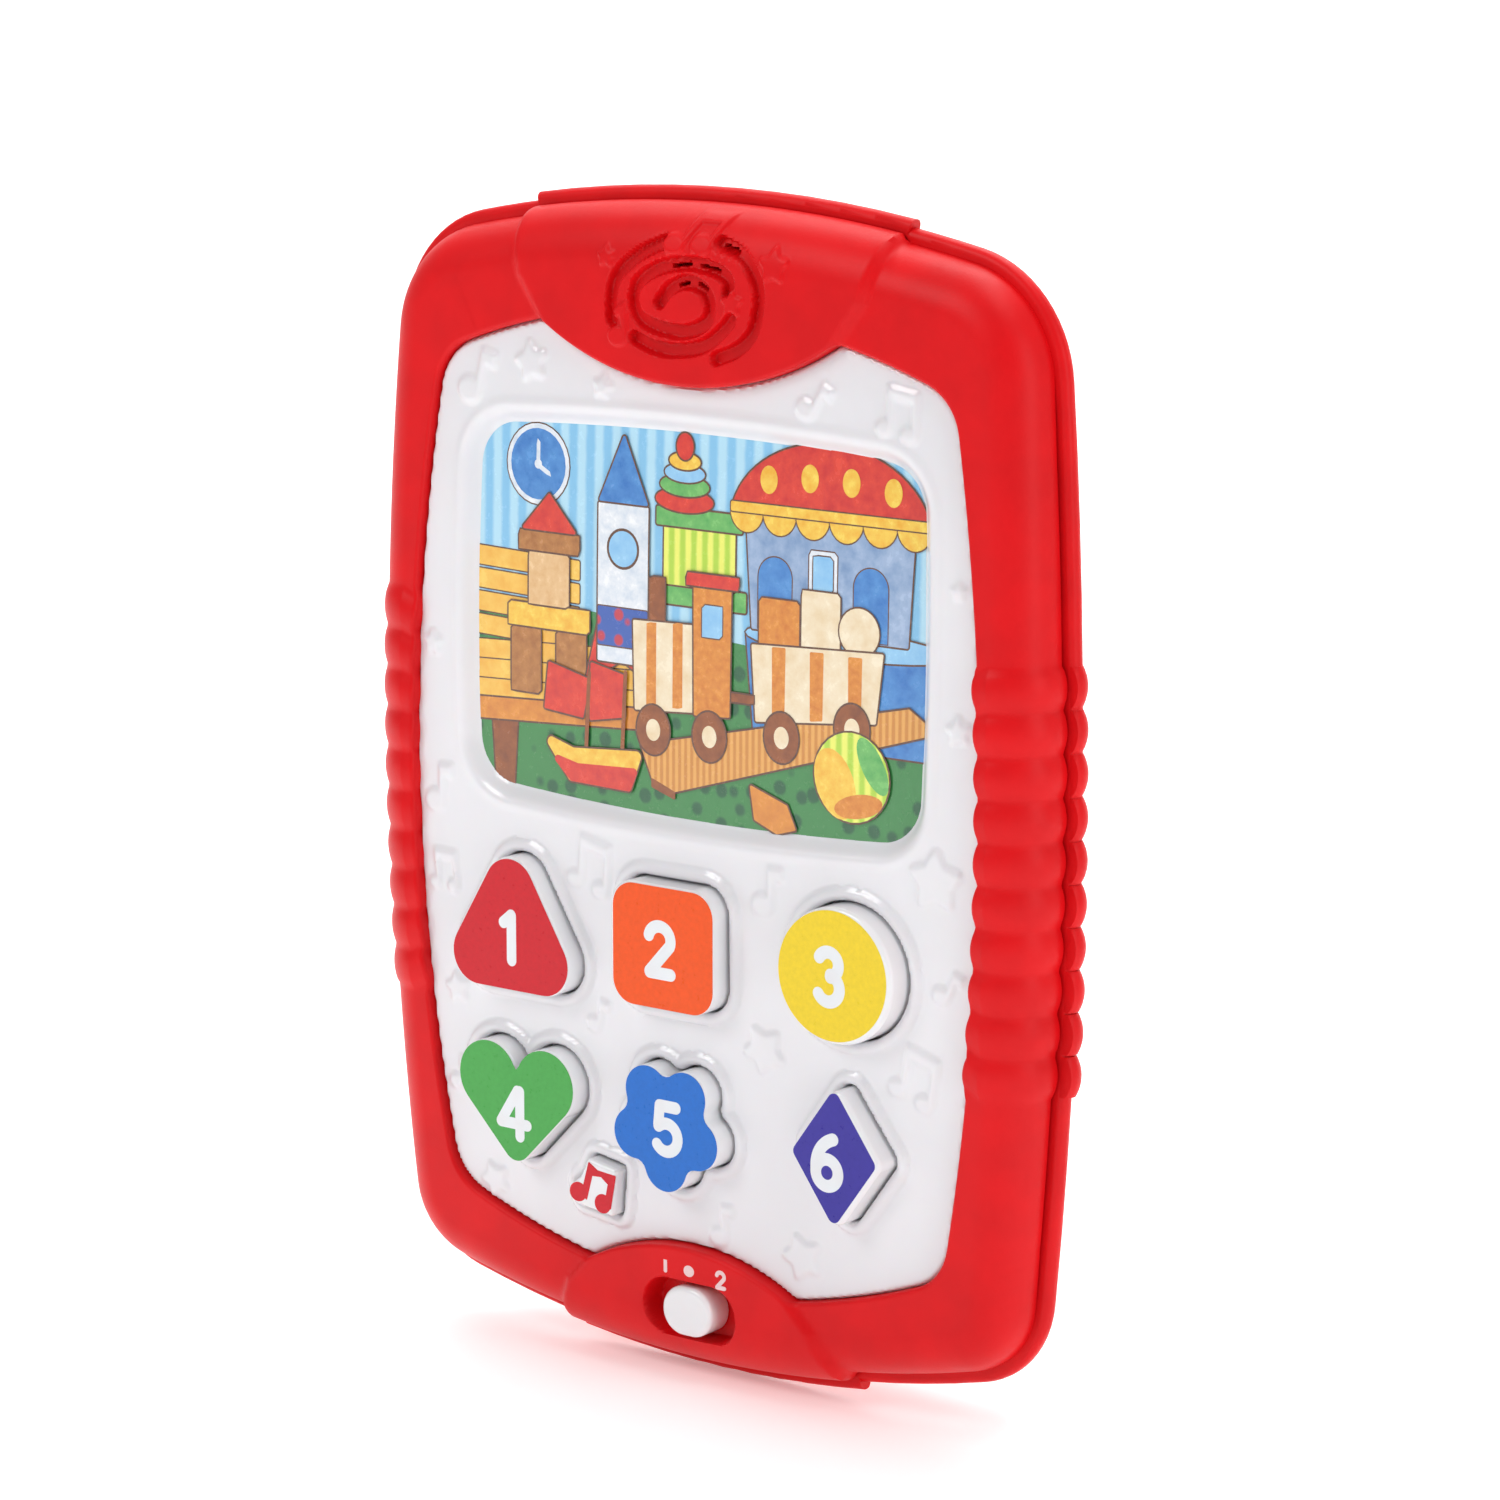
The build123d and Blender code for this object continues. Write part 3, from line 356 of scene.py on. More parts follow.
def block(x, z, width, height, tilt=0.0):
    """Rectangle about a point."""
    corners = np.array([(-0.5, -0.5), (0.5, -0.5), (0.5, 0.5), (-0.5, 0.5)]) * [width, height]
    return turned(corners, tilt) + [x, z]


def star_sign(size):
    """Plump five-pointed star."""
    corners = []
    for k in range(10):
        radius = size if k % 2 == 0 else 0.55 * size
        angle = math.radians(90 - 36 * k)
        corners.append((radius * math.cos(angle), radius * math.sin(angle)))
    return [polygon(*corners, radius=0.14 * size)]


def note_sign(size):
    """Single musical note: head, stem and flag."""
    return [size * ellipse(-0.15, -0.5, 0.46, 0.40), size * block(0.18, 0.15, 0.26, 1.4),
            size * block(0.38, 0.62, 0.62, 0.46)]


def pair_sign(size):
    """Two musical notes joined by a beam."""
    return [size * ellipse(-0.62, -0.62, 0.34, 0.28), size * ellipse(0.42, -0.80, 0.34, 0.28),
            size * block(-0.38, 0.05, 0.22, 1.35), size * block(0.65, -0.12, 0.22, 1.35),
            size * block(0.13, 0.60, 1.25, 0.40, -9)]


RELIEF = [
    (note_sign, -39.6, 144.7, 4.8, -12), (star_sign, -29.0, 147.4, 3.5, 12),
    (star_sign, -15.6, 144.8, 2.0, -8), (note_sign, 21.8, 145.9, 3.6, -28),
    (pair_sign, 36.3, 145.5, 4.0, 0), (star_sign, 46.8, 121.6, 1.5, 0),
    (star_sign, 47.2, 102.3, 2.4, 6), (star_sign, 43.6, 80.8, 5.2, 0),
    (note_sign, 45.6, 66.0, 3.2, -22), (pair_sign, 40.4, 52.6, 4.6, -10),
    (star_sign, 14.0, 52.2, 4.3, 30), (note_sign, -16.6, 52.6, 3.0, -10),
    (note_sign, 14.6, 75.6, 4.2, 0), (pair_sign, -17.4, 75.2, 4.6, -4),
    (note_sign, 5.6, 24.6, 3.6, 4), (star_sign, 20.2, 22.4, 4.1, 20),
    (star_sign, -37.4, 24.0, 3.2, 25), (star_sign, -47.9, 104.4, 2.2, 0),
    (note_sign, -47.0, 82.8, 4.2, 0), (pair_sign, -46.0, 70.6, 3.4, 8),
    (star_sign, -43.8, 52.6, 2.8, 10), (note_sign, -44.0, 39.6, 3.0, 0),
]


def swirl_notes(size):
    """Pair of joined notes whose heads stand at the gap in the swirl's outer ring."""
    return [size * ellipse(-1.9, 0.2, 1.8, 1.5), size * ellipse(2.9, 0.3, 1.8, 1.5),
            size * polygon((-0.8, 0.2), (0.1, 0.3), (2.2, 3.6), (2.2, 4.8), (1.2, 4.8)),
            size * polygon((3.8, 0.2), (4.7, 0.4), (7.2, 4.8), (5.9, 4.8)),
            size * polygon((1.0, 3.3), (6.2, 3.3), (7.0, 4.7), (1.3, 4.7))]


def swirl_note(size):
    """Single note at the lower left of the swirl."""
    return [size * ellipse(0.0, 0.0, 1.8, 1.4),
            size * polygon((0.9, 0.2), (1.7, 0.2), (1.3, 4.4), (0.0, 4.0)),
            size * polygon((-1.0, 3.8), (1.4, 5.1), (1.5, 3.5), (-0.5, 2.5))]


SWIRL_SIGNS = [(star_sign, 8.9, 158.6, 2.2, 0), (star_sign, 15.9, 164.2, 3.0, 0),
               (star_sign, -13.8, 163.7, 1.8, 0), (swirl_notes, 0.0, 166.0, 1.0, 0),
               (swirl_note, -11.2, 152.6, 1.0, 0)]


def sign_weight(x, z, signs, edge):
    """1 on a raised sign, 0 away from it, with a soft edge."""
    weight = np.zeros(x.shape)
    for shape, sx, sz, size, turn in signs:
        for loop in shape(size):
            gap, _, _ = distance_to(x, z, turned(loop, turn) + [sx, sz], reach=1.0)
            weight = np.maximum(weight, smooth(0.5 - gap / edge))
    return weight


# ================================================================== meshes
INK_STEP = 0.004
BEND_PITCH = 4.0


def make_piece(name, points, faces, material, body, crease=35):
    """Mesh piece from millimetre points (x, y, z), riding on a body."""
    mesh = bpy.data.meshes.new(name)
    mesh.from_pydata((np.asarray(points) * MM).tolist(), [], faces)
    mesh.validate()
    return finish_piece(name, mesh, material, body, crease)


def finish_piece(name, mesh, material, body, crease=35):
    """Object for a finished mesh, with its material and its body."""
    mesh.polygons.foreach_set("use_smooth", [True] * len(mesh.polygons))
    mesh.set_sharp_from_angle(angle=math.radians(crease))
    mesh.materials.append(material)
    piece = bpy.data.objects.new(name, mesh)
    bpy.context.scene.collection.objects.link(piece)
    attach(piece, body)
    return piece


def fill_loop(bm, loop, depth):
    """Flat faces inside a closed outline at one depth."""
    ring = [bm.verts.new((x, depth, z)) for x, z in loop]
    edges = [bm.edges.new((a, b)) for a, b in zip(ring, ring[1:] + ring[:1])]
    bmesh.ops.triangle_fill(bm, edges=edges, use_beauty=True, use_dissolve=False)


def print_patch(name, loops, depth, material, body, thick=0.06, domed=False):
    """Thin layer of ink: closed outlines in the front view, filled and given a small thickness.
    When domed, the layer follows the big dome at the given depth."""
    bm = bmesh.new()
    for layer, loop in enumerate(loops):
        lift = depth - INK_STEP * layer
        fill_loop(bm, loop, lift)
    if domed:
        cut_small(bm, BEND_PITCH)
    for vertex in bm.verts:
        fall = sag(vertex.co.x, vertex.co.z) if domed else 0.0
        vertex.co.y += FACE_Y + fall
    bmesh.ops.recalc_face_normals(bm, faces=bm.faces)
    if sum(face.normal.y * face.calc_area() for face in bm.faces) > 0:
        bmesh.ops.reverse_faces(bm, faces=bm.faces)
    front = bm.faces[:]
    walls = bmesh.ops.extrude_face_region(bm, geom=front, use_keep_orig=True)
    for item in walls["geom"]:
        if isinstance(item, bmesh.types.BMVert):
            item.co.y += thick
    for vertex in bm.verts:
        vertex.co *= MM
    bmesh.ops.recalc_face_normals(bm, faces=bm.faces)
    mesh = bpy.data.meshes.new(name)
    bm.to_mesh(mesh)
    bm.free()
    return finish_piece(name, mesh, material, body)


def cut_small(bm, pitch):
    """Cuts flat faces along a square grid, so that they can bend with a surface."""
    xs = [v.co.x for v in bm.verts]
    zs = [v.co.z for v in bm.verts]
    for axis, values in (((1, 0, 0), xs), ((0, 0, 1), zs)):
        low, high = min(values), max(values)
        for k in range(math.floor(low / pitch) + 1, math.ceil(high / pitch)):
            where = [k * pitch * component for component in axis]
            geom = bm.verts[:] + bm.edges[:] + bm.faces[:]
            bmesh.ops.bisect_plane(bm, geom=geom, plane_co=where, plane_no=axis)


# ================================================================== white faceplate
PLATE_PITCH = 0.42
PLATE_TUCK = 2.4
PLATE_BACK = 2.4
PLATE_WALL = 1.3
PLATE_SPAN = ((-55, 55), (10, 160))
PLATE_DROP = 1.25
RELIEF_EDGE = 0.9
RIM_BEAD = 0.22
RIM_BEAD_WIDTH = 0.7


def plate_height(x, z, holes):
    """How far the faceplate stands in front of the big dome: collars, window rim and raised signs."""
    height = np.zeros(x.shape)
    for gap in holes:
        across = np.clip(2 * gap / COLLAR_WIDTH - 1, -1, 1)
        height = np.maximum(height, COLLAR_HEIGHT * (1 - across**4))
    height = np.maximum(height, RELIEF_HEIGHT * sign_weight(x, z, RELIEF, RELIEF_EDGE))
    window, _, _ = distance_to(x, z, window_outline(), reach=6)
    height -= CARD_DEPTH * (1 - smooth(window / WINDOW_RIM) ** 0.8)
    height += RIM_BEAD * np.exp(-(((window - WINDOW_RIM - 0.5) / RIM_BEAD_WIDTH) ** 2))
    edge, _, _ = distance_to(x, z, evenly(opening_outline(), 0.8))
    return height - PLATE_DROP * smooth((edge + 0.45) / 0.6), edge


def make_faceplate(material):
    """Grid whose points are drawn onto the hole outlines, with walls and a flat back."""
    xs, zs = (np.arange(*span, PLATE_PITCH) for span in PLATE_SPAN)
    x, z = np.meshgrid(xs, zs)
    x, z = x.copy(), z.copy()
    holes = []
    cut = np.zeros(x.shape, bool)
    rim = np.zeros(x.shape, bool)
    loops = [loop + [bx, bz] for loop, bx, bz in BUTTONS.values()] + [window_outline()]
    for loop in loops:
        gap, near_x, near_z = distance_to(x, z, evenly(loop, 0.35), reach=4)
        on = np.abs(gap) <= 0.5 * PLATE_PITCH
        x, z = np.where(on, near_x, x), np.where(on, near_z, z)
        gap = np.where(on, 0.0, gap)
        cut |= gap < 0
        rim |= on
        holes.append(gap)
    height, edge = plate_height(x, z, holes[:-1])
    keep = ~cut & (edge < PLATE_TUCK)
    y = FACE_Y + sag(x, z) - height
    index = np.full(x.shape, -1)
    index[keep] = np.arange(keep.sum())
    corners = np.stack([index[:-1, :-1], index[:-1, 1:], index[1:, 1:], index[1:, :-1]], -1).reshape(-1, 4)
    free = ~rim
    inner = np.stack([free[:-1, :-1], free[:-1, 1:], free[1:, 1:], free[1:, :-1]], -1).reshape(-1, 4)
    faces = []
    for ids, loose in zip(corners[(corners >= 0).sum(1) >= 3], inner[(corners >= 0).sum(1) >= 3]):
        kept = [int(i) for i in ids if i >= 0]
        if any(flag for i, flag in zip(ids, loose) if i >= 0):
            faces.append(kept)
    mesh = bpy.data.meshes.new("faceplate_moulding")
    points = np.stack([x[keep], y[keep], z[keep]], 1) * MM
    mesh.from_pydata(points.tolist(), [], faces)
    bm = bmesh.new()
    bm.from_mesh(mesh)
    loose_points = [v for v in bm.verts if not v.link_faces]
    bmesh.ops.delete(bm, geom=loose_points, context="VERTS")
    close_behind(bm, (FACE_Y + PLATE_BACK + PLATE_WALL) * MM)
    bm.to_mesh(mesh)
    bm.free()
    return finish_piece("faceplate_moulding", mesh, material, "case", crease=50)


def close_behind(bm, back):
    """Walls from every open edge to a flat back, and the back itself."""
    border = [e for e in bm.edges if len(e.link_faces) == 1]
    made = bmesh.ops.extrude_edge_only(bm, edges=border)["geom"]
    for item in made:
        if isinstance(item, bmesh.types.BMVert):
            item.co.y = back
    open_edges = [e for e in made if isinstance(e, bmesh.types.BMEdge) and len(e.link_faces) == 1]
    bmesh.ops.triangle_fill(bm, edges=open_edges, use_beauty=True, use_dissolve=False)
    bmesh.ops.recalc_face_normals(bm, faces=bm.faces)


# ================================================================== red front frame
RING_STEP = 0.6
FINE_STEP = 0.17
FINE_PLACES = (((0.6, 172.0), 19.0), ((0.8, 2.0), 11.0))
FLAT_ROWS = 88
ROUND_ROWS = 36
INNER_EDGE_R = 0.7
GROOVE_WIDTH, GROOVE_DEPTH, GROOVE_WALL = 2.0, 1.4, 0.4
SLOT_WIDTH, SLOT_DEPTH, SLOT_WALL = 0.45, 3.6, 0.25
SWIRL_SIGN_EDGE = 0.5
RECESS_EDGE = 0.7
LOBE_EDGE = 1.3
SWIRL_GROOVES = [
    [(-3.8, 166.3), (-8.0, 164.4), (-11.7, 161.4), (-12.8, 158.4), (-12.6, 154.9)],
    [(6.0, 166.7), (10.0, 165.2), (12.8, 162.0), (13.3, 158.6), (12.3, 154.6), (9.6, 152.1), (6.2, 150.7)],
    [(-8.4, 152.6), (-5.0, 151.5), (-1.0, 151.3), (3.6, 152.2), (6.9, 154.5), (8.5, 156.2)],
    [(8.0, 160.0), (7.8, 161.8), (5.2, 163.1), (0.5, 163.6), (-4.6, 162.6), (-8.1, 160.4), (-8.7, 157.8),
     (-7.4, 155.4), (-3.6, 154.2), (0.8, 154.1), (4.1, 155.6), (4.9, 158.0), (3.6, 160.2), (0.6, 161.0),
     (-2.4, 159.9), (-4.1, 157.9)],
]
SWIRL_SLOTS = [[(6.2, 166.3), (8.7, 165.6)], [(-2.6, 163.0), (0.4, 163.4)], [(2.4, 163.3), (5.6, 162.8)],
               [(-1.3, 160.4), (0.2, 160.8)], [(2.1, 160.8), (3.5, 160.1)]]


def curve_through(points, steps=8):
    """Smooth line through a few points."""
    p = np.array(points, float)
    p = np.concatenate([[2 * p[0] - p[1]], p, [2 * p[-1] - p[-2]]])
    t = np.linspace(0, 1, steps, endpoint=False)[:, None]
    pieces = []
    for a, b, c, d in zip(p[:-3], p[1:-2], p[2:-1], p[3:]):
        pieces.append(b + 0.5 * t * (c - a + t * (2 * a - 5 * b + 4 * c - d + t * (3 * (b - c) + d - a))))
    return np.concatenate([*pieces, [p[-2]]])


def groove_depth(x, z, lines, width, depth, wall):
    """Depth of grooves along lines, with sloped walls."""
    deep = np.zeros(x.shape)
    for line in lines:
        gap, _, _ = distance_to(x, z, curve_through(line), reach=width, closed=False)
        deep = np.maximum(deep, depth * smooth((width / 2 - gap) / wall + 0.5))
    return deep


def rib_swell(z):
    """Scalloped swelling of the grips: RIB_EDGE in the valleys and RIB_BULGE on the crests."""
    place = (RIB_TOP - z) / RIB_PITCH
    across = 2 * (place % 1.0) - 1
    inside = smooth(place / 0.08) * smooth((RIB_COUNT - place) / 0.08)
    return inside * (RIB_EDGE + (RIB_BULGE - RIB_EDGE) * (1 - across**2))


def lobe_weight(x, z):
    """1 on the raised lobes, 0 off them."""
    weight = np.zeros(x.shape)
    for loop in lobe_loops():
        gap, _, _ = distance_to(x, z, loop, reach=3)
        weight = np.maximum(weight, smooth(0.5 - gap / LOBE_EDGE))
    return weight


def stadium(x, z, centre, size):
    """Distance from a slot with round ends."""
    reach = (size[0] - size[1]) / 2
    away = np.maximum(np.abs(x - centre[0]) - reach, 0)
    return np.hypot(away, z - centre[1]) - size[1] / 2


def front_details(x, z, depth):
    """Swirl grooves, signs and the switch recess pressed into the frame's front."""
    grooves = groove_depth(x, z, SWIRL_GROOVES, GROOVE_WIDTH, GROOVE_DEPTH, GROOVE_WALL)
    slots = groove_depth(x, z, SWIRL_SLOTS, SLOT_WIDTH, SLOT_DEPTH, SLOT_WALL)
    grooves = np.maximum(grooves, slots)
    signs = sign_weight(x, z, SWIRL_SIGNS, SWIRL_SIGN_EDGE)
    depth = depth + grooves * (1 - signs) - SWIRL_RELIEF * signs
    recess = smooth(0.5 - stadium(x, z, SWITCH, RECESS) / RECESS_EDGE)
    return depth + recess * (RECESS_FLOOR - depth)


def ring_columns():
    """Points round the case, closer together where the swirl and the switch are."""
    outer = evenly(lip_outline(-FRONT_INSET), FINE_STEP)
    keep = np.arange(len(outer)) % round(RING_STEP / FINE_STEP) == 0
    for place, reach in FINE_PLACES:
        keep |= np.linalg.norm(outer - place, axis=1) < reach
    return outer[keep], outward(outer)[keep]


def ring_rows():
    """Rows of the frame's skin from its hidden inner back, over the front, to its hidden outer back."""
    outer, normal = ring_columns()
    hole = evenly(opening_outline(), 0.3)
    centre = np.array([0.0, DOME_HEIGHT])
    start = outer - normal * FRAME_EDGE_R
    hole_angle = np.arctan2(*(hole - centre).T[::-1]) % math.tau
    order = np.argsort(hole_angle)
    angle = np.arctan2(*(start - centre).T[::-1]) % math.tau
    hole_angle, hole = hole_angle[order], hole[order]
    inner = np.stack([np.interp(angle, hole_angle, hole[:, k], period=math.tau) for k in (0, 1)], 1)
    beside = np.abs(inner[:, 0]) > RIB_MIN_X
    inner[:, 0] -= np.sign(inner[:, 0]) * RIB_BITE * rib_swell(inner[:, 1]) / RIB_BULGE * beside
    swell = rib_swell(outer[:, 1]) * (np.abs(outer[:, 0]) > RIB_MIN_X)
    wide = (LOBE_STEP * lobe_weight(*(outer + normal * 0.5).T) + swell)[:, None]
    width = np.linalg.norm(start - inner, axis=1)

    def row(points, depth):
        return np.stack([points[:, 0], FACE_Y + depth, points[:, 1]], 1)

    def front_level(points, swelling):
        x, z = points.T
        return sag(x, z) - FRAME_PROUD - (LOBE_PROUD - FRAME_PROUD) * lobe_weight(x, z) - swelling

    front = []
    for part in np.linspace(0, 1, FLAT_ROWS) ** 1.15:
        points = inner + (start - inner) * part
        away = part * width
        sunk = INNER_EDGE_R - np.sqrt(np.maximum(INNER_EDGE_R**2 - (INNER_EDGE_R - away).clip(0) ** 2, 0))
        front.append(row(points, front_level(points, swell * (0.75 + 0.25 * part)) + sunk))
    for angle in np.linspace(0, math.pi / 2, ROUND_ROWS)[1:]:
        bend = math.sin(angle)
        top = front_level(start + normal * FRAME_EDGE_R * bend, swell * (1 - bend))
        points = start + normal * (FRAME_EDGE_R + wide) * bend
        front.append(row(points, top + FRAME_EDGE_R * (1 - math.cos(angle))))
    front = np.stack(front)
    x, y, z = np.moveaxis(front, 2, 0)
    front[..., 1] = FACE_Y + front_details(x, z, y - FACE_Y)

    side = front[-1][:, 1] - FACE_Y
    hidden = sag(*inner.T) + 2.4
    inside = [row(inner + normal * 1.2, hidden + 0.6), row(inner, hidden + 0.6), row(inner, hidden - 1.0)]
    outside = [row(outer + normal * wide, side + (PARTING_FRONT - side) * part) for part in (0.5, 1.0)]
    behind = [row(outer - normal * FRAME_WALL, np.full(len(outer), PARTING_FRONT)),
              row(outer - normal * (FRAME_WALL + 0.4), np.full(len(outer), 5.2))]
    return inside + list(front) + outside + behind


def make_front_frame(material):
    """Closed skin of the red frame, from its rows."""
    rows = ring_rows()
    count = len(rows[0])
    faces = []
    for r in range(len(rows)):
        here, there = r * count, ((r + 1) % len(rows)) * count
        for k in range(count):
            following = (k + 1) % count
            faces.append((here + k, here + following, there + following, there + k))
    points = np.concatenate(rows)
    piece = make_piece("front_frame_moulding", points, faces, material, "case", 50)
    fix_normals(piece)
    return piece


def fix_normals(piece):
    """Turns every face of a closed piece outwards."""
    bm = bmesh.new()
    bm.from_mesh(piece.data)
    bmesh.ops.recalc_face_normals(bm, faces=bm.faces)
    bm.to_mesh(piece.data)
    bm.free()


# ================================================================== materials
def new_material(name, colour, roughness, **sockets):
    """Principled material with a flat start; details are added to its nodes by the callers."""
    material = bpy.data.materials.new(name)
    material.use_nodes = True
    material.diffuse_color = (*colour, 1.0)
    shader = material.node_tree.nodes["Principled BSDF"]
    shader.inputs["Base Color"].default_value = (*colour, 1.0)
    shader.inputs["Roughness"].default_value = roughness
    for socket, value in sockets.items():
        shader.inputs[socket.replace("_", " ")].default_value = value
    return material


def add_node(material, kind, **inputs):
    """Shader node with its input values."""
    node = material.node_tree.nodes.new(kind)
    for socket, value in inputs.items():
        node.inputs[socket.replace("_", " ")].default_value = value
    return node


def link(material, source, output, target, socket):
    """Wire between two shader nodes."""
    material.node_tree.links.new(source.outputs[output], target.inputs[socket])


def noise(material, size, detail=2.0, rough=0.5):
    """Noise with features of about the given size in millimetres."""
    place = add_node(material, "ShaderNodeTexCoord")
    scale = 1 / (size * MM)
    texture = add_node(material, "ShaderNodeTexNoise", Scale=scale, Detail=detail, Roughness=rough)
    link(material, place, "Object", texture, "Vector")
    return texture


def vary_colour(material, texture, output, dark, light, low=0.35, high=0.65):
    """Base colour that wanders between two colours with a texture."""
    ramp = add_node(material, "ShaderNodeValToRGB")
    ramp.color_ramp.elements[0].position = low
    ramp.color_ramp.elements[1].position = high
    ramp.color_ramp.elements[0].color = (*dark, 1)
    ramp.color_ramp.elements[1].color = (*light, 1)
    link(material, texture, output, ramp, "Fac")
    link(material, ramp, "Color", material.node_tree.nodes["Principled BSDF"], "Base Color")
    return ramp


def vary_roughness(material, texture, low, high):
    """Roughness that wanders with a texture."""
    span = add_node(material, "ShaderNodeMapRange")
    span.inputs["To Min"].default_value = low
    span.inputs["To Max"].default_value = high
    link(material, texture, "Fac", span, "Value")
    link(material, span, "Result", material.node_tree.nodes["Principled BSDF"], "Roughness")


def add_bumps(material, *layers):
    """Bump from (texture, output, height in millimetres, strength), one on top of the other."""
    before = None
    for texture, output, height, strength in layers:
        bump = add_node(material, "ShaderNodeBump", Strength=strength, Distance=height * MM)
        link(material, texture, output, bump, "Height")
        if before:
            link(material, before, "Normal", bump, "Normal")
        before = bump
    link(material, before, "Normal", material.node_tree.nodes["Principled BSDF"], "Normal")


def shade(colour, factor):
    """Colour made darker or lighter."""
    return tuple(min(1.0, c * factor) for c in colour)


def red_plastic(name, grain, roughness):
    """Red ABS with a spark-eroded skin: fine sparkling grain over a faint unevenness."""
    colour = (0.70, 0.003, 0.006)
    material = new_material(name, colour, roughness, Specular_IOR_Level=0.2)
    clouds = noise(material, 9.0, 3.0)
    vary_colour(material, clouds, "Fac", shade(colour, 0.93), shade(colour, 1.04))
    grit = noise(material, grain, 2.0, 0.6)
    vary_roughness(material, grit, roughness - 0.09, roughness + 0.09)
    add_bumps(material, (grit, "Fac", 0.035, 0.55), (noise(material, 14.0), "Fac", 0.12, 0.25))
    return material


def white_plastic(name, colour, roughness, coat):
    """Polished white ABS with slight mould waviness, fine wipe marks and a trace of depth."""
    material = new_material(name, colour, roughness, Coat_Weight=coat, Coat_Roughness=0.06,
                            Subsurface_Weight=0.08, Subsurface_Scale=0.002)
    clouds = noise(material, 18.0, 3.0)
    vary_colour(material, clouds, "Fac", shade(colour, 0.97), colour)
    marks = noise(material, 0.9, 4.0, 0.7)
    vary_roughness(material, marks, roughness - 0.04, roughness + 0.06)
    add_bumps(material, (noise(material, 11.0), "Fac", 0.06, 0.3), (marks, "Fac", 0.006, 0.3))
    return material


def ink(name, colour, roughness=0.28):
    """Pad-printed ink: nearly even colour with a screen-like mottle and tiny pinholes' bump."""
    material = new_material(name, colour, roughness, Coat_Weight=0.12, Coat_Roughness=0.12,
                            Specular_IOR_Level=0.25)
    mottle = noise(material, 0.8, 4.0, 0.65)
    vary_colour(material, mottle, "Fac", shade(colour, 0.95), shade(colour, 1.04))
    vary_roughness(material, mottle, roughness - 0.05, roughness + 0.08)
    add_bumps(material, (noise(material, 0.35, 2.0), "Fac", 0.01, 0.4))
    return material


def lens_sheet(name, dark, light, size, roughness=0.2):
    """Colour seen through the ribbed lens sheet that covers the picture."""
    material = new_material(name, light, roughness, Coat_Weight=0.5, Coat_Roughness=0.15)
    brush = noise(material, size, 4.0, 0.6)
    vary_colour(material, brush, "Fac", dark, light, 0.3, 0.7)
    vary_roughness(material, brush, roughness, roughness + 0.12)
    add_bumps(material, (lens_ribs(material), "Fac", 0.012, 0.35))
    return material


def lens_ribs(material, pitch=0.42):
    """Upright bands with a pitch in millimetres."""
    place = add_node(material, "ShaderNodeTexCoord")
    wave = add_node(material, "ShaderNodeTexWave", Scale=math.tau / (20 * pitch * MM))
    wave.wave_type = "BANDS"
    wave.bands_direction = "X"
    link(material, place, "Object", wave, "Vector")
    return wave


def striped(name, dark, light, pitch, roughness=0.2):
    """Wallpaper or cloth with upright stripes, under the lens sheet."""
    material = lens_sheet(name, dark, light, 1.0, roughness)
    stripes = lens_ribs(material, pitch)
    brush = noise(material, 2.2, 3.0)
    mixed = add_node(material, "ShaderNodeMath")
    mixed.operation = "MULTIPLY_ADD"
    mixed.inputs[1].default_value = 0.75
    link(material, stripes, "Fac", mixed, 0)
    part = add_node(material, "ShaderNodeMath")
    part.operation = "MULTIPLY"
    part.inputs[1].default_value = 0.3
    link(material, brush, "Fac", part, 0)
    link(material, part, "Value", mixed, 2)
    vary_colour(material, mixed, "Value", dark, light, 0.3, 0.75)
    return material


def spotted(name, ground, spot, size, share):
    """Cloth or rug with soft round spots, under the lens sheet."""
    material = lens_sheet(name, ground, ground, 1.0)
    place = add_node(material, "ShaderNodeTexCoord")
    cells = add_node(material, "ShaderNodeTexVoronoi", Scale=1 / (size * MM), Randomness=0.75)
    link(material, place, "Object", cells, "Vector")
    vary_colour(material, cells, "Distance", spot, ground, share - 0.06, share + 0.06)
    return material


def metal(name, colour, roughness):
    """Plated steel with fine turned scratches."""
    material = new_material(name, colour, roughness, Metallic=1.0)
    scratches = noise(material, 0.5, 5.0, 0.7)
    vary_colour(material, scratches, "Fac", shade(colour, 0.85), colour)
    vary_roughness(material, scratches, roughness - 0.1, roughness + 0.12)
    add_bumps(material, (scratches, "Fac", 0.008, 0.4))
    return material


def dull(name, colour, roughness, size=1.0):
    """Rubber, board, paper and other unseen inner materials."""
    material = new_material(name, colour, roughness)
    grain = noise(material, size, 4.0, 0.6)
    vary_colour(material, grain, "Fac", shade(colour, 0.8), shade(colour, 1.1))
    vary_roughness(material, grain, roughness - 0.08, roughness + 0.08)
    add_bumps(material, (grain, "Fac", 0.02, 0.5))
    return material


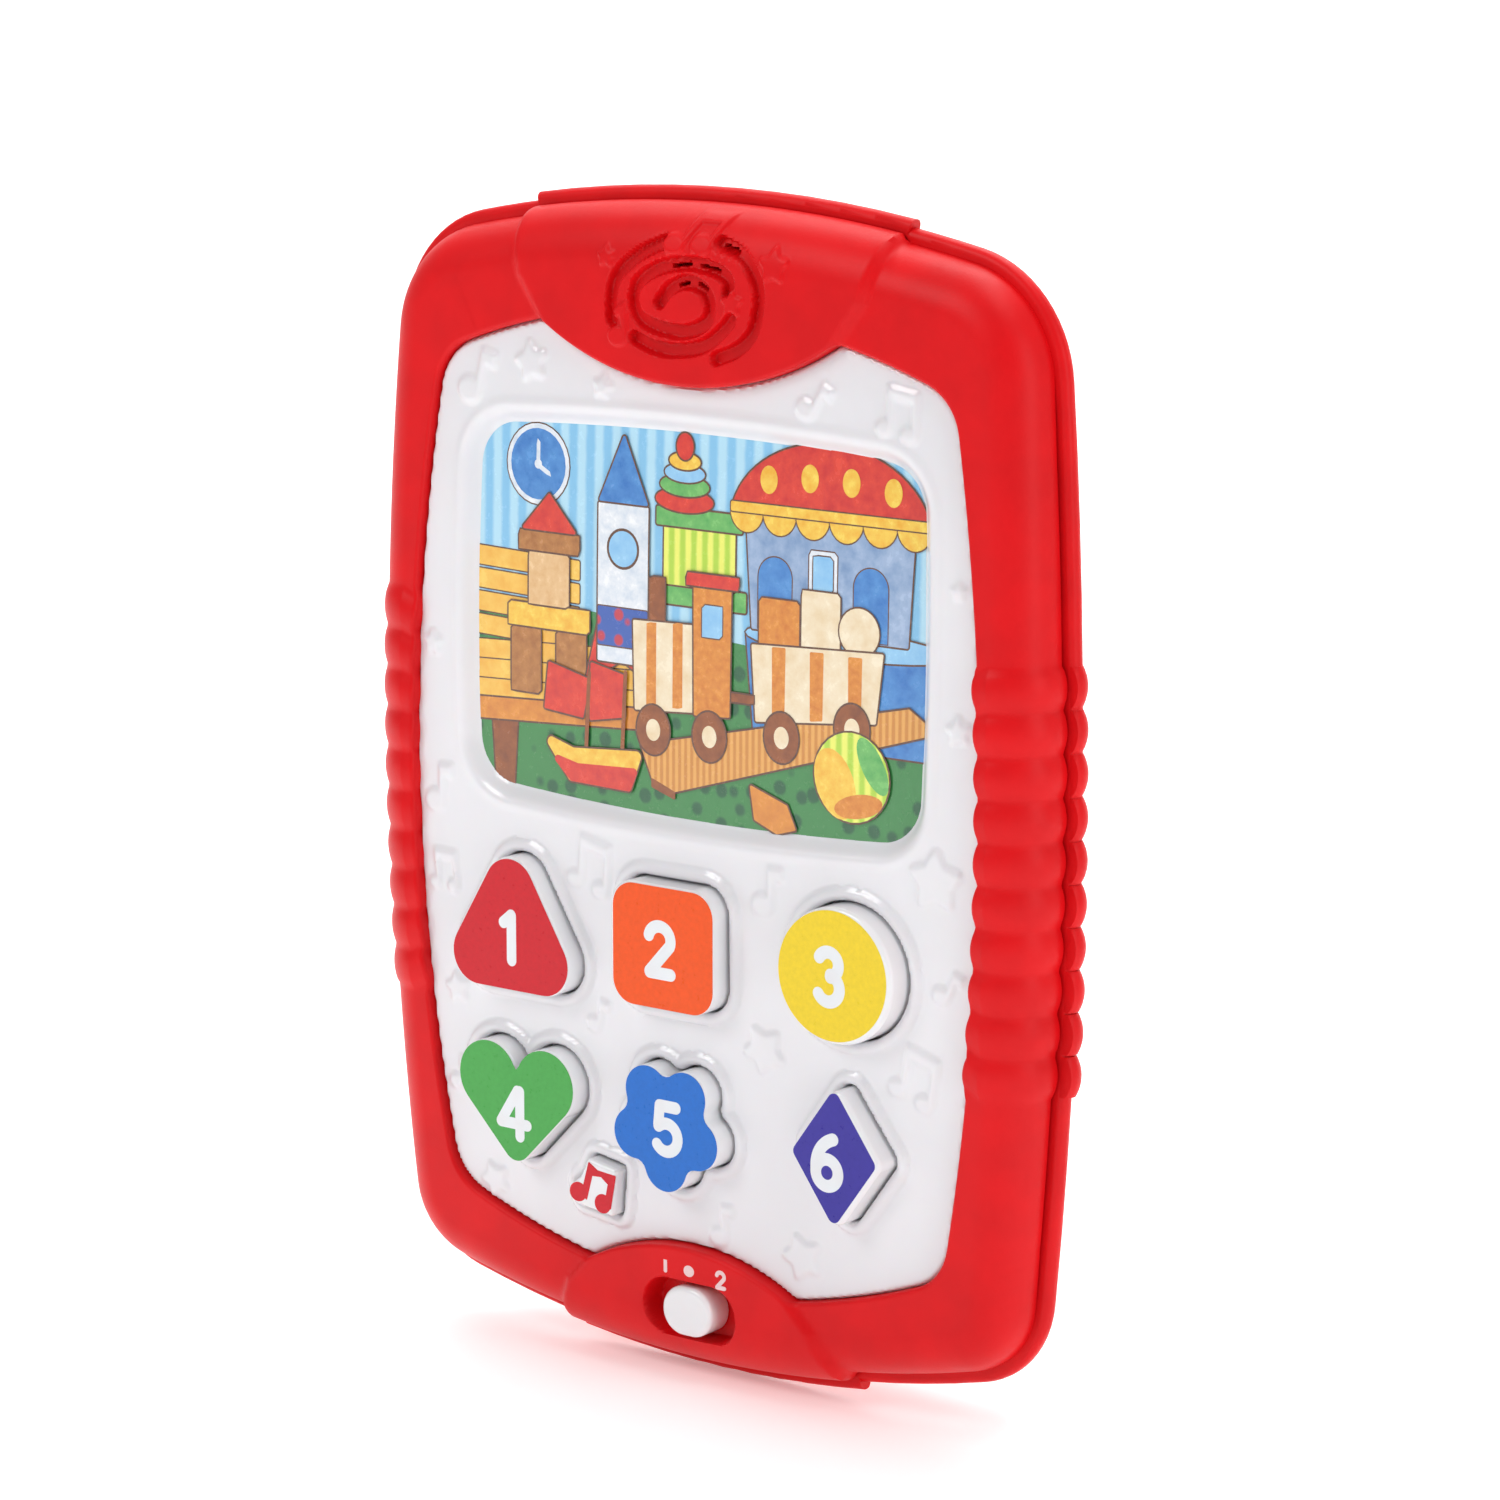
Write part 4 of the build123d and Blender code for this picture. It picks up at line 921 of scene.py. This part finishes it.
RED = red_plastic("red_spark_eroded", 0.22, 0.42)
WHITE = white_plastic("white_polished", (0.80, 0.79, 0.82), 0.2, 0.4)
CAP = white_plastic("white_cap_polished", (0.84, 0.84, 0.86), 0.16, 0.5)
FINISHES = {
    "red_shell": RED,
    "white_shell": WHITE,
    "white_cap": CAP,
    "picture": lens_sheet("card_lens", (0.30, 0.58, 0.80), (0.42, 0.70, 0.88), 2.0),
    "rubber": dull("grey_silicone", (0.45, 0.46, 0.47), 0.7, 0.6),
    "board": dull("green_board", (0.03, 0.22, 0.09), 0.4, 1.4),
    "resin": dull("black_resin", (0.02, 0.02, 0.02), 0.25, 2.0),
    "can": dull("capacitor_sleeve", (0.03, 0.04, 0.10), 0.3, 1.0),
    "black_plastic": dull("black_acetal", (0.03, 0.03, 0.03), 0.4, 0.8),
    "plated_steel": metal("nickel_plate", (0.70, 0.69, 0.66), 0.25),
    "cone": dull("paper_cone", (0.05, 0.05, 0.055), 0.85, 0.5),
    "screw_steel": metal("zinc_plate", (0.52, 0.52, 0.53), 0.32),
    "cell": dull("cell_sleeve", (0.06, 0.09, 0.16), 0.3, 1.6),
}


def dress_cad_nodes():
    """Every carried-over CAD node gets the finish of its material slot."""
    for part in frame["record"]["subparts"]:
        node = frame["nodes"][part["node"]]
        node.data.materials.clear()
        node.data.materials.append(FINISHES[part["material_slot"]])


# ================================================================== numbers and prints on the buttons
STROKE = 0.2
INKS = {
    "triangle": ink("ink_crimson", (0.60, 0.006, 0.016)),
    "square": ink("ink_orange", (0.86, 0.085, 0.003)),
    "circle": ink("ink_yellow", (0.85, 0.62, 0.020)),
    "heart": ink("ink_green", (0.07, 0.38, 0.075)),
    "flower": ink("ink_blue", (0.012, 0.15, 0.58)),
    "diamond": ink("ink_indigo", (0.040, 0.028, 0.32)),
    "note": ink("ink_note", (0.62, 0.006, 0.018)),
}
DIGITS = {
    "triangle": (1, -29.9, 63.0, 8.9), "square": (2, -1.8, 65.3, 9.2), "circle": (3, 28.3, 65.8, 9.4),
    "heart": (4, -30.0, 36.3, 8.6), "flower": (5, -1.0, 38.8, 9.1), "diamond": (6, 27.6, 38.8, 9.3),
}
PRINT_FITS = {"triangle": (0.15, 0.55), "square": (0.4, 0.55), "circle": (-0.45, 0.8),
              "heart": (0.0, 0.4), "flower": (0.0, 0.4), "diamond": (-0.4, 0.7)}


def digit_strokes(number):
    """Centre lines of a rounded digit that is one unit high."""
    return {
        1: [[(-0.15, 0.24), (0.02, 0.38), (0.02, -0.38)]],
        2: [np.concatenate([round_arc((0.0, 0.16), 0.22, 165, -20), [(-0.2, -0.36)]]),
            [(-0.2, -0.37), (0.22, -0.37)]],
        3: [np.concatenate([round_arc((-0.02, 0.19), 0.19, 150, -78),
                            round_arc((-0.02, -0.17), 0.21, 78, -150)])],
        4: [[(0.08, 0.40), (-0.29, -0.18), (0.29, -0.18)], [(0.13, 0.40), (0.13, -0.40)]],
        5: [[(0.18, 0.37), (-0.14, 0.37), (-0.17, 0.05)], np.concatenate([[(-0.17, 0.03)], round_arc(
            (-0.01, -0.14), 0.23, 122, -145)])],
        6: [np.concatenate([round_arc((0.26, -0.08), 0.47, 108, 178), [(-0.21, -0.14)]]),
            round_arc((0.0, -0.17), 0.21, 190, -10), round_arc((0.0, -0.17), 0.21, 10, -190)],
    }[number]


def ribbon(points, width):
    """Closed outline of a line drawn with a round pen."""
    line = [np.array(points[0], float)]
    for a, b in zip(points[:-1], points[1:]):
        a, b = np.array(a, float), np.array(b, float)
        pieces = max(1, round(np.linalg.norm(b - a) / (0.35 * width)))
        line += [a + (b - a) * k / pieces for k in range(1, pieces + 1)]
    line = np.array(line)
    ahead = np.gradient(line, axis=0)
    ahead /= np.linalg.norm(ahead, axis=1)[:, None]
    side = np.stack([-ahead[:, 1], ahead[:, 0]], 1) * width / 2
    caps = []
    for end, direction in ((-1, ahead[-1]), (0, -ahead[0])):
        facing = math.degrees(math.atan2(direction[1], direction[0]))
        caps.append(round_arc(line[end], width / 2, facing + 80, facing - 80, 9))
    return np.concatenate([line + side, caps[0], (line - side)[::-1], caps[1]])


def digit_loops(number, x, z, height):
    """Closed outlines of a digit's strokes, split at sharp bends."""
    loops = []
    for stroke in digit_strokes(number):
        stroke = np.array(stroke, float)
        parts = [stroke]
        turning = sharp_places(stroke)
        if turning:
            cuts = [0, *turning, len(stroke) - 1]
            parts = [stroke[a:b + 1] for a, b in zip(cuts[:-1], cuts[1:])]
        loops += [ribbon(part, STROKE) * height + [x, z] for part in parts if len(part) > 1]
    return loops


def sharp_places(line):
    """Places where a centre line bends by more than 40 degrees."""
    places = []
    for k in range(1, len(line) - 1):
        u, v = line[k] - line[k - 1], line[k + 1] - line[k]
        if u @ v < math.cos(math.radians(40)) * np.linalg.norm(u) * np.linalg.norm(v):
            places.append(k)
    return places


def button_notes():
    """Pair of joined notes with leaning stems and a bent beam."""
    return [ellipse(-2.9, -1.1, 1.55, 1.4, 15), ellipse(1.5, -2.1, 1.45, 1.4, 20),
            polygon((-1.35, -2.1), (-0.3, 1.7), (-0.2, 3.0), (-1.0, 3.6), (-1.9, 0.4), (-2.4, -1.4),
                    radius=0.15),
            polygon((-1.0, 3.6), (0.6, 2.6), (3.9, 2.3), (3.5, 0.6), (2.6, 0.7), (1.2, 1.7), (-0.4, 1.6),
                    radius=0.2),
            polygon((3.9, 2.3), (2.9, -2.9), (1.9, -1.6), (2.5, 1.3), radius=0.15)]


def print_buttons():
    """Coloured patch and number on each cap, and the notes on the small one."""
    for shape, (loop, x, z) in BUTTONS.items():
        body, node = f"button_{shape}", f"button_{shape}"
        top = (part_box(node)[0].y / MM) - FACE_Y
        if shape == "note":
            loops = [1.05 * part + [x - 0.1, z] for part in button_notes()]
            print_patch("note_print", loops, top - 0.02, INKS[shape], body)
            continue
        shift, margin = PRINT_FITS[shape]
        patch = grown(evenly(loop, 0.5), -margin) + [x + shift, z]
        print_patch(f"{shape}_print", [patch], top - 0.03, INKS[shape], body, thick=0.12)
        digits = digit_loops(*DIGITS[shape])
        print_patch(f"{shape}_number", digits, top - 0.05, CAP, body)


def print_switch_marks():
    """A figure one, a dot and a figure two beside each other above the switch, in worn white."""
    worn = ink("ink_worn_white", (0.85, 0.62, 0.62), 0.4)
    x, z = SWITCH[0] + 0.3, 17.4
    loops = digit_loops(1, x - 4.4, z + 0.4, 3.1) + [ellipse(x, z - 0.1, 0.95, 0.85)]
    loops += digit_loops(2, x + 5.8, z - 0.4, 3.1)
    level = sag(x, z) - LOBE_PROUD
    print_patch("switch_marks", loops, level - 0.03, worn, "case", thick=0.3)


# ================================================================== picture behind the window
def clipped(loop, window):
    """Part of a closed outline inside the window, which bulges outwards everywhere."""
    points = [np.array(p, float) for p in loop]
    centre = window.mean(0)
    for a, b in zip(window, np.roll(window, -1, axis=0)):
        edge = b - a
        normal = np.array([-edge[1], edge[0]])
        if normal @ (centre - a) < 0:
            normal = -normal
        sides = [normal @ (p - a) for p in points]
        kept = []
        for k, (p, s) in enumerate(zip(points, sides)):
            before, s0 = points[k - 1], sides[k - 1]
            if (s >= 0) != (s0 >= 0):
                kept.append(before + (p - before) * s0 / (s0 - s))
            if s >= 0:
                kept.append(p)
        points = kept
        if len(points) < 3:
            return None
    return tidy_loop(np.array(points))


PAINTS = {
    "ink_line": lens_sheet("paint_line", (0.10, 0.045, 0.03), (0.16, 0.07, 0.04), 1.0),
    "rug": spotted("paint_rug", (0.05, 0.25, 0.07), (0.02, 0.12, 0.05), 3.4, 0.33),
    "bench": lens_sheet("paint_bench", (0.85, 0.42, 0.05), (0.95, 0.62, 0.12), 3.0),
    "bench_edge": lens_sheet("paint_bench_edge", (0.62, 0.20, 0.03), (0.80, 0.32, 0.05), 2.0),
    "dark_wood": lens_sheet("paint_dark_wood", (0.22, 0.06, 0.02), (0.36, 0.11, 0.03), 2.0),
    "plank": striped("paint_plank", (0.62, 0.25, 0.05), (0.80, 0.40, 0.10), 1.1),
    "brown": lens_sheet("paint_brown", (0.36, 0.13, 0.03), (0.55, 0.24, 0.07), 1.6),
    "tan": lens_sheet("paint_tan", (0.72, 0.42, 0.18), (0.85, 0.58, 0.30), 1.6),
    "white": lens_sheet("paint_white", (0.62, 0.70, 0.80), (0.90, 0.92, 0.95), 1.8),
    "cloth": spotted("paint_cloth", (0.05, 0.12, 0.45), (0.55, 0.05, 0.08), 2.4, 0.36),
    "lime": striped("paint_lime", (0.45, 0.68, 0.06), (0.85, 0.88, 0.16), 2.0),
    "green": lens_sheet("paint_green", (0.08, 0.38, 0.09), (0.20, 0.55, 0.15), 2.0),
    "red": lens_sheet("paint_red", (0.60, 0.02, 0.02), (0.80, 0.06, 0.03), 2.0),
    "gold": lens_sheet("paint_gold", (0.85, 0.42, 0.03), (0.95, 0.68, 0.10), 1.6),
    "steel_blue": lens_sheet("paint_steel_blue", (0.18, 0.30, 0.52), (0.42, 0.54, 0.74), 3.2),
    "blue": lens_sheet("paint_blue", (0.03, 0.17, 0.52), (0.10, 0.32, 0.70), 2.4),
    "sky": lens_sheet("paint_sky", (0.22, 0.50, 0.82), (0.35, 0.65, 0.90), 3.0),
    "cream": lens_sheet("paint_cream", (0.80, 0.62, 0.38), (0.93, 0.82, 0.62), 2.6),
    "patch": lens_sheet("paint_patch", (0.62, 0.18, 0.02), (0.80, 0.32, 0.05), 1.2),
}
PAINT_LIFT = 0.03
PAINT_STEP = 0.0022
painted = {}
painted_layers = []


def paint(colour, *loops, line=0.28):
    """Adds closed outlines to the picture, each in front of the last, with a dark line round them."""
    for loop in loops:
        loop = evenly(np.array(loop, float), 1.0) if len(loop) < 8 else np.array(loop, float)
        for name, shape in (("ink_line", grown(loop, line)), (colour, loop)) if line else ((colour, loop),):
            inside = clipped(shape, evenly(window_outline(0.35), 2.0))
            if inside is not None:
                painted_layers.append(name)
                painted.setdefault(name, []).append((len(painted_layers), inside))


def quad(*corners):
    """Painted outline with nearly sharp corners."""
    return polygon(*corners, radius=0.25)


def paint_room():
    """Green rug, yellow bench with its planks and leg, and a plain wall clock."""
    paint("rug", quad((-44, 111), (-20, 112), (10, 110), (44, 108), (44, 80), (-44, 80)), line=0)
    paint("white", ellipse(-29.0, 132.4, 5.9, 5.9), line=0.2)
    paint("blue", ellipse(-29.0, 132.4, 5.2, 5.2), line=0)
    hands = block(-29.0, 134.2, 0.7, 3.8), block(-27.8, 131.6, 3.0, 0.7, -28)
    paint("white", *hands, ellipse(-29.0, 132.4, 0.7, 0.7), line=0)
    for k in range(4):
        top = 119.6 - 3.4 * k
        paint("bench", quad((-44, top), (-21, top - 0.6), (-21, top - 3.4), (-44, top - 2.8)), line=0.2)
    paint("dark_wood", quad((-38, 99), (-32.5, 98), (-33.5, 84), (-37, 85)))
    for k in range(3):
        low = 105.4 - 2.9 * k
        near = -9.0 + 1.6 * k
        plank = quad((-44, low), (near, low + 1.8), (near + 1.4, low - 0.9), (-44, low - 2.7))
        paint("bench", plank, line=0.2)
    paint("bench_edge", quad((-44, 96.8), (-5.0, 99.0), (-5.2, 96.0), (-44, 93.6)))


def paint_rings_and_drum():
    """Stacking rings on top of a striped drum."""
    paint("green", quad((-7.2, 117.4), (9.4, 117.4), (9.4, 114.6), (-7.2, 114.6)))
    paint("lime", quad((-5.4, 126.2), (7.4, 126.2), (7.4, 117.4), (-5.4, 117.4)))
    paint("green", quad((-6.8, 128.4), (8.6, 128.4), (8.6, 125.8), (-6.8, 125.8)))
    paint("red", ellipse(-1.8, 129.6, 5.2, 1.7))
    paint("green", ellipse(-1.8, 131.7, 4.4, 1.5))
    paint("sky", ellipse(-1.8, 133.5, 3.6, 1.3))
    paint("gold", ellipse(-1.8, 135.2, 2.8, 1.2))
    paint("red", ellipse(-1.8, 137.3, 1.5, 1.9))


def paint_pavilion():
    """Blue-grey toy pavilion with a red and gold cloth roof, on a blue stand."""
    paint("blue", quad((9.5, 112.0), (42.5, 112.0), (42.5, 97), (11.0, 97)))
    paint("sky", ellipse(27.0, 112.0, 17.6, 2.0))
    paint("steel_blue", quad((9.0, 132), (38.5, 132), (37.4, 112.6), (10.5, 112.6)))
    for x in (14.5, 31.0):
        door = [round_arc((x, 120.2), 2.9, 0, 180), [(x - 2.9, 112.8), (x + 2.9, 112.8)]]
        paint("blue", np.concatenate(door), line=0.2)
    paint("white", block(22.8, 121.4, 4.8, 6.6, 0), line=0.2)
    paint("sky", block(22.8, 121.4, 3.4, 5.2, 0), line=0.2)
    roof = np.concatenate([round_arc((23.8, 127.2), 17.4, 172, 8, 30, 0.72)])
    paint("red", roof)
    for k in range(6):
        x = 9.4 + 5.75 * k
        paint("gold", round_arc((x, 129.4), 2.9, 180, 360, 14, 1.1), line=0.2)
    for k in range(4):
        x = 13.2 + 7.1 * k
        paint("gold", ellipse(x, 133.4 + 1.4 * math.sin(math.pi * (k + 0.5) / 4), 1.5, 2.0), line=0)
    paint("gold", quad((6.6, 130.4), (41, 130.4), (41, 129.0), (6.6, 129.0)), line=0.2)


def paint_tower_and_rocket():
    """Tower of wooden blocks on the bench, and a toy rocket beside it."""
    paint("brown", block(-31.0, 103.6, 5.6, 9.6), block(-22.4, 103.6, 5.6, 9.6))
    paint("gold", block(-26.7, 110.2, 15.4, 3.4))
    paint("tan", block(-26.7, 115.8, 7.6, 7.8))
    paint("brown", block(-26.7, 121.2, 11.4, 2.8))
    paint("red", quad((-32.0, 122.8), (-26.7, 128.4), (-21.4, 122.8)))
    paint("red", quad((-19.8, 101.4), (-16.6, 113.6), (-9.0, 113.6), (-5.8, 101.4), (-12.8, 105.4)))
    paint("white", quad((-17.4, 105.0), (-17.4, 128.0), (-8.2, 128.0), (-8.2, 105.0)))
    paint("blue", quad((-17.4, 128.2), (-12.8, 138.2), (-8.2, 128.2)))
    paint("cloth", quad((-17.4, 113.0), (-8.2, 113.0), (-8.2, 107.4), (-17.4, 107.4)), line=0.2)
    paint("sky", ellipse(-12.8, 121.6, 2.6, 2.6), line=0.4)


def paint_train():
    """Toy engine pulling a wagon of blocks along a plank that rests on a log."""
    paint("bench_edge", quad((10.4, 90.2), (17.0, 88.0), (18.6, 84.6), (15.2, 83.6), (11.2, 85.2)))
    paint("plank", quad((-9.4, 93.6), (37.8, 104.2), (42.6, 101.2), (-3.0, 87.4), (-7.2, 88.6)))
    paint("dark_wood", quad((-7.4, 89.0), (-3.0, 87.4), (-3.0, 86.2), (-7.4, 87.6)), line=0)
    paint("patch", block(15.4, 113.4, 7.0, 7.6), line=0.25)
    paint("cream", block(22.6, 114.6, 6.6, 8.8), ellipse(29.2, 114.0, 3.4, 3.4), line=0.25)
    paint("cream", quad((10.6, 110.4), (33.4, 111.4), (32.2, 101.4), (11.4, 99.4)))
    for x in (15.4, 22.0, 28.6):
        paint("patch", quad((x - 1.2, 110.4), (x + 1.2, 110.5), (x + 1.1, 100.8), (x - 1.1, 100.5)), line=0)
    paint("dark_wood", block(8.6, 102.4, 5.0, 1.2), block(-6.4, 115.0, 2.8, 6.4))
    paint("cream", quad((-10.8, 111.6), (1.0, 112.0), (1.0, 99.4), (-10.4, 98.6)))
    paint("patch", block(-7.4, 105.4, 1.8, 12.4), block(-2.6, 105.8, 1.8, 12.4), line=0)
    paint("patch", quad((0.2, 117.6), (7.0, 117.8), (6.8, 99.4), (0.4, 99.0)))
    paint("sky", block(3.6, 112.8, 3.6, 4.6), line=0.2)
    paint("red", block(3.6, 118.6, 9.4, 1.8))
    for x, z in ((-7.0, 96.0), (3.2, 96.2), (16.0, 97.6), (28.2, 100.2)):
        paint("dark_wood", ellipse(x, z, 3.0, 3.6))
        paint("cream", ellipse(x, z, 1.3, 1.6), line=0)


def paint_ball_and_boat():
    """Beach ball at the right and a red-sailed boat at the left."""
    paint("lime", ellipse(28.2, 93.4, 6.4, 6.4))
    paint("gold", ellipse(25.4, 92.2, 3.3, 5.2, 22), line=0)
    paint("green", ellipse(31.8, 95.4, 1.9, 4.4, 30), line=0)
    paint("patch", ellipse(29.4, 89.4, 4.2, 1.7, 12), line=0)
    paint("red", quad((-26.6, 103.8), (-18.6, 102.0), (-20.0, 96.2), (-27.4, 96.8)),
          quad((-18.6, 104.6), (-12.4, 103.4), (-12.2, 97.2), (-18.8, 96.0)))
    paint("dark_wood", block(-19.2, 96.6, 0.7, 14.0, -3), block(-12.4, 97.8, 0.7, 13.0, -3), line=0)
    hull = polygon((-28.2, 93.4), (-21.8, 91.6), (-8.8, 92.6), (-11.2, 86.4), (-22.6, 86.6), radius=0.8)
    paint("gold", hull)
    side = polygon((-26.8, 90.6), (-21.0, 89.4), (-9.6, 90.0), (-11.2, 86.4), (-22.4, 86.6), radius=0.6)
    paint("red", side, line=0)


def make_picture():
    """Wallpaper card and one piece per colour of the layered picture."""
    wallpaper = striped("paint_wallpaper", (0.24, 0.55, 0.82), (0.46, 0.74, 0.90), 3.2)
    outline = evenly(window_outline(0.6), 1.5)
    card = print_patch("picture_wallpaper", [outline], CARD_DEPTH, wallpaper, "case",
                       thick=0.5, domed=True)
    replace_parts(card, "picture_card")
    for part in (paint_room, paint_rings_and_drum, paint_pavilion, paint_tower_and_rocket, paint_train,
                 paint_ball_and_boat):
        part()
    for colour, entries in painted.items():
        picture_layer(f"picture_{colour}", entries, PAINTS[colour])


def picture_layer(name, entries, material):
    """All shapes of one colour, each at the depth of its place in the picture's order."""
    bm = bmesh.new()
    for order, loop in entries:
        depth = CARD_DEPTH - PAINT_LIFT - PAINT_STEP * order
        fill_loop(bm, loop, depth)
    cut_small(bm, BEND_PITCH)
    for vertex in bm.verts:
        vertex.co.y += FACE_Y + sag(vertex.co.x, vertex.co.z)
        vertex.co *= MM
    bmesh.ops.recalc_face_normals(bm, faces=bm.faces)
    turned_away = [face for face in bm.faces if face.normal.y > 0]
    bmesh.ops.reverse_faces(bm, faces=turned_away)
    mesh = bpy.data.meshes.new(name)
    bm.to_mesh(mesh)
    bm.free()
    return finish_piece(name, mesh, material, "case")


# ================================================================== floor, light and camera
def make_stage():
    """Pale seamless floor that turns up into a wall far behind the object."""
    half_width, front, back, bend_r, height = 4000, -4000, 1000, 300, 2000
    rows = [(front, 0), (back - bend_r, 0)]
    for angle in np.linspace(0, math.pi / 2, 12)[1:]:
        rows.append((back - bend_r * (1 - math.sin(angle)), bend_r * (1 - math.cos(angle))))
    rows += [(back, height)]
    points, faces = [], []
    for y, z in rows:
        points += [(-half_width, y, z - 0.05), (half_width, y, z - 0.05)]
    for k in range(len(rows) - 1):
        faces.append((2 * k, 2 * k + 1, 2 * k + 3, 2 * k + 2))
    mesh = bpy.data.meshes.new("studio_sweep")
    mesh.from_pydata((np.array(points) * MM).tolist(), [], faces)
    mesh.polygons.foreach_set("use_smooth", [True] * len(faces))
    paper = new_material("studio_paper", (0.96, 0.96, 0.96), 0.6, Emission_Color=(1, 1, 1, 1),
                         Emission_Strength=0.25)
    add_bumps(paper, (noise(paper, 2.0, 3.0), "Fac", 0.01, 0.2))
    mesh.materials.append(paper)
    sweep = bpy.data.objects.new("studio_sweep", mesh)
    bpy.context.scene.collection.objects.link(sweep)


def add_light(name, place, target, size, power):
    """Rectangular lamp aimed at a point."""
    lamp = bpy.data.lights.new(name, "AREA")
    lamp.shape = "RECTANGLE"
    lamp.size, lamp.size_y = size
    lamp.energy = power
    light = bpy.data.objects.new(name, lamp)
    light.location = Vector(place)
    light.rotation_euler = (Vector(target) - Vector(place)).to_track_quat("-Z", "Y").to_euler()
    bpy.context.scene.collection.objects.link(light)


def light_scene():
    """White world and four soft lamps."""
    world = bpy.data.worlds.new("studio_world")
    world.use_nodes = True
    world.node_tree.nodes["Background"].inputs["Color"].default_value = (1.0, 1.0, 1.0, 1.0)
    world.node_tree.nodes["Background"].inputs["Strength"].default_value = WORLD_STRENGTH
    bpy.context.scene.world = world
    bpy.context.scene.view_settings.view_transform = "Standard"
    middle = (0.0, 0.0, 0.09)
    add_light("key", (-0.35, -0.75, 0.75), middle, (0.5, 0.4), 3.6)
    add_light("side", (0.85, -0.20, 0.30), middle, (0.25, 0.8), 2.2)
    add_light("top", (0.10, 0.10, 0.95), middle, (0.9, 0.3), 3.4)
    add_light("backdrop", (-0.50, 0.45, 1.20), (-0.85, 1.10, 0.05), (1.2, 0.8), 13.0)


WORLD_STRENGTH = 0.30
CAMERA_PLACE = (0.4584, -0.5915, 0.2437)
CAMERA_FORWARD = (-0.5969, 0.7773, -0.1989)
CAMERA_LENS = 127.3
SENSOR = 36.0
CAMERA_SHIFT = (-0.0009, 0.0033)


def make_camera():
    """Camera in front of the object, to its right and a little above it."""
    data = bpy.data.cameras.new("camera")
    data.lens = CAMERA_LENS
    data.sensor_width = SENSOR
    data.shift_x, data.shift_y = CAMERA_SHIFT
    camera = bpy.data.objects.new("camera", data)
    camera.location = CAMERA_PLACE
    camera.rotation_euler = Vector(CAMERA_FORWARD).to_track_quat("-Z", "Y").to_euler()
    bpy.context.scene.collection.objects.link(camera)
    bpy.context.scene.camera = camera


# ================================================================== build
dress_cad_nodes()
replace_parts(make_faceplate(WHITE), "faceplate")
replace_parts(make_front_frame(RED), "front_shell")
print_buttons()
print_switch_marks()
make_picture()
make_stage()
light_scene()
make_camera()
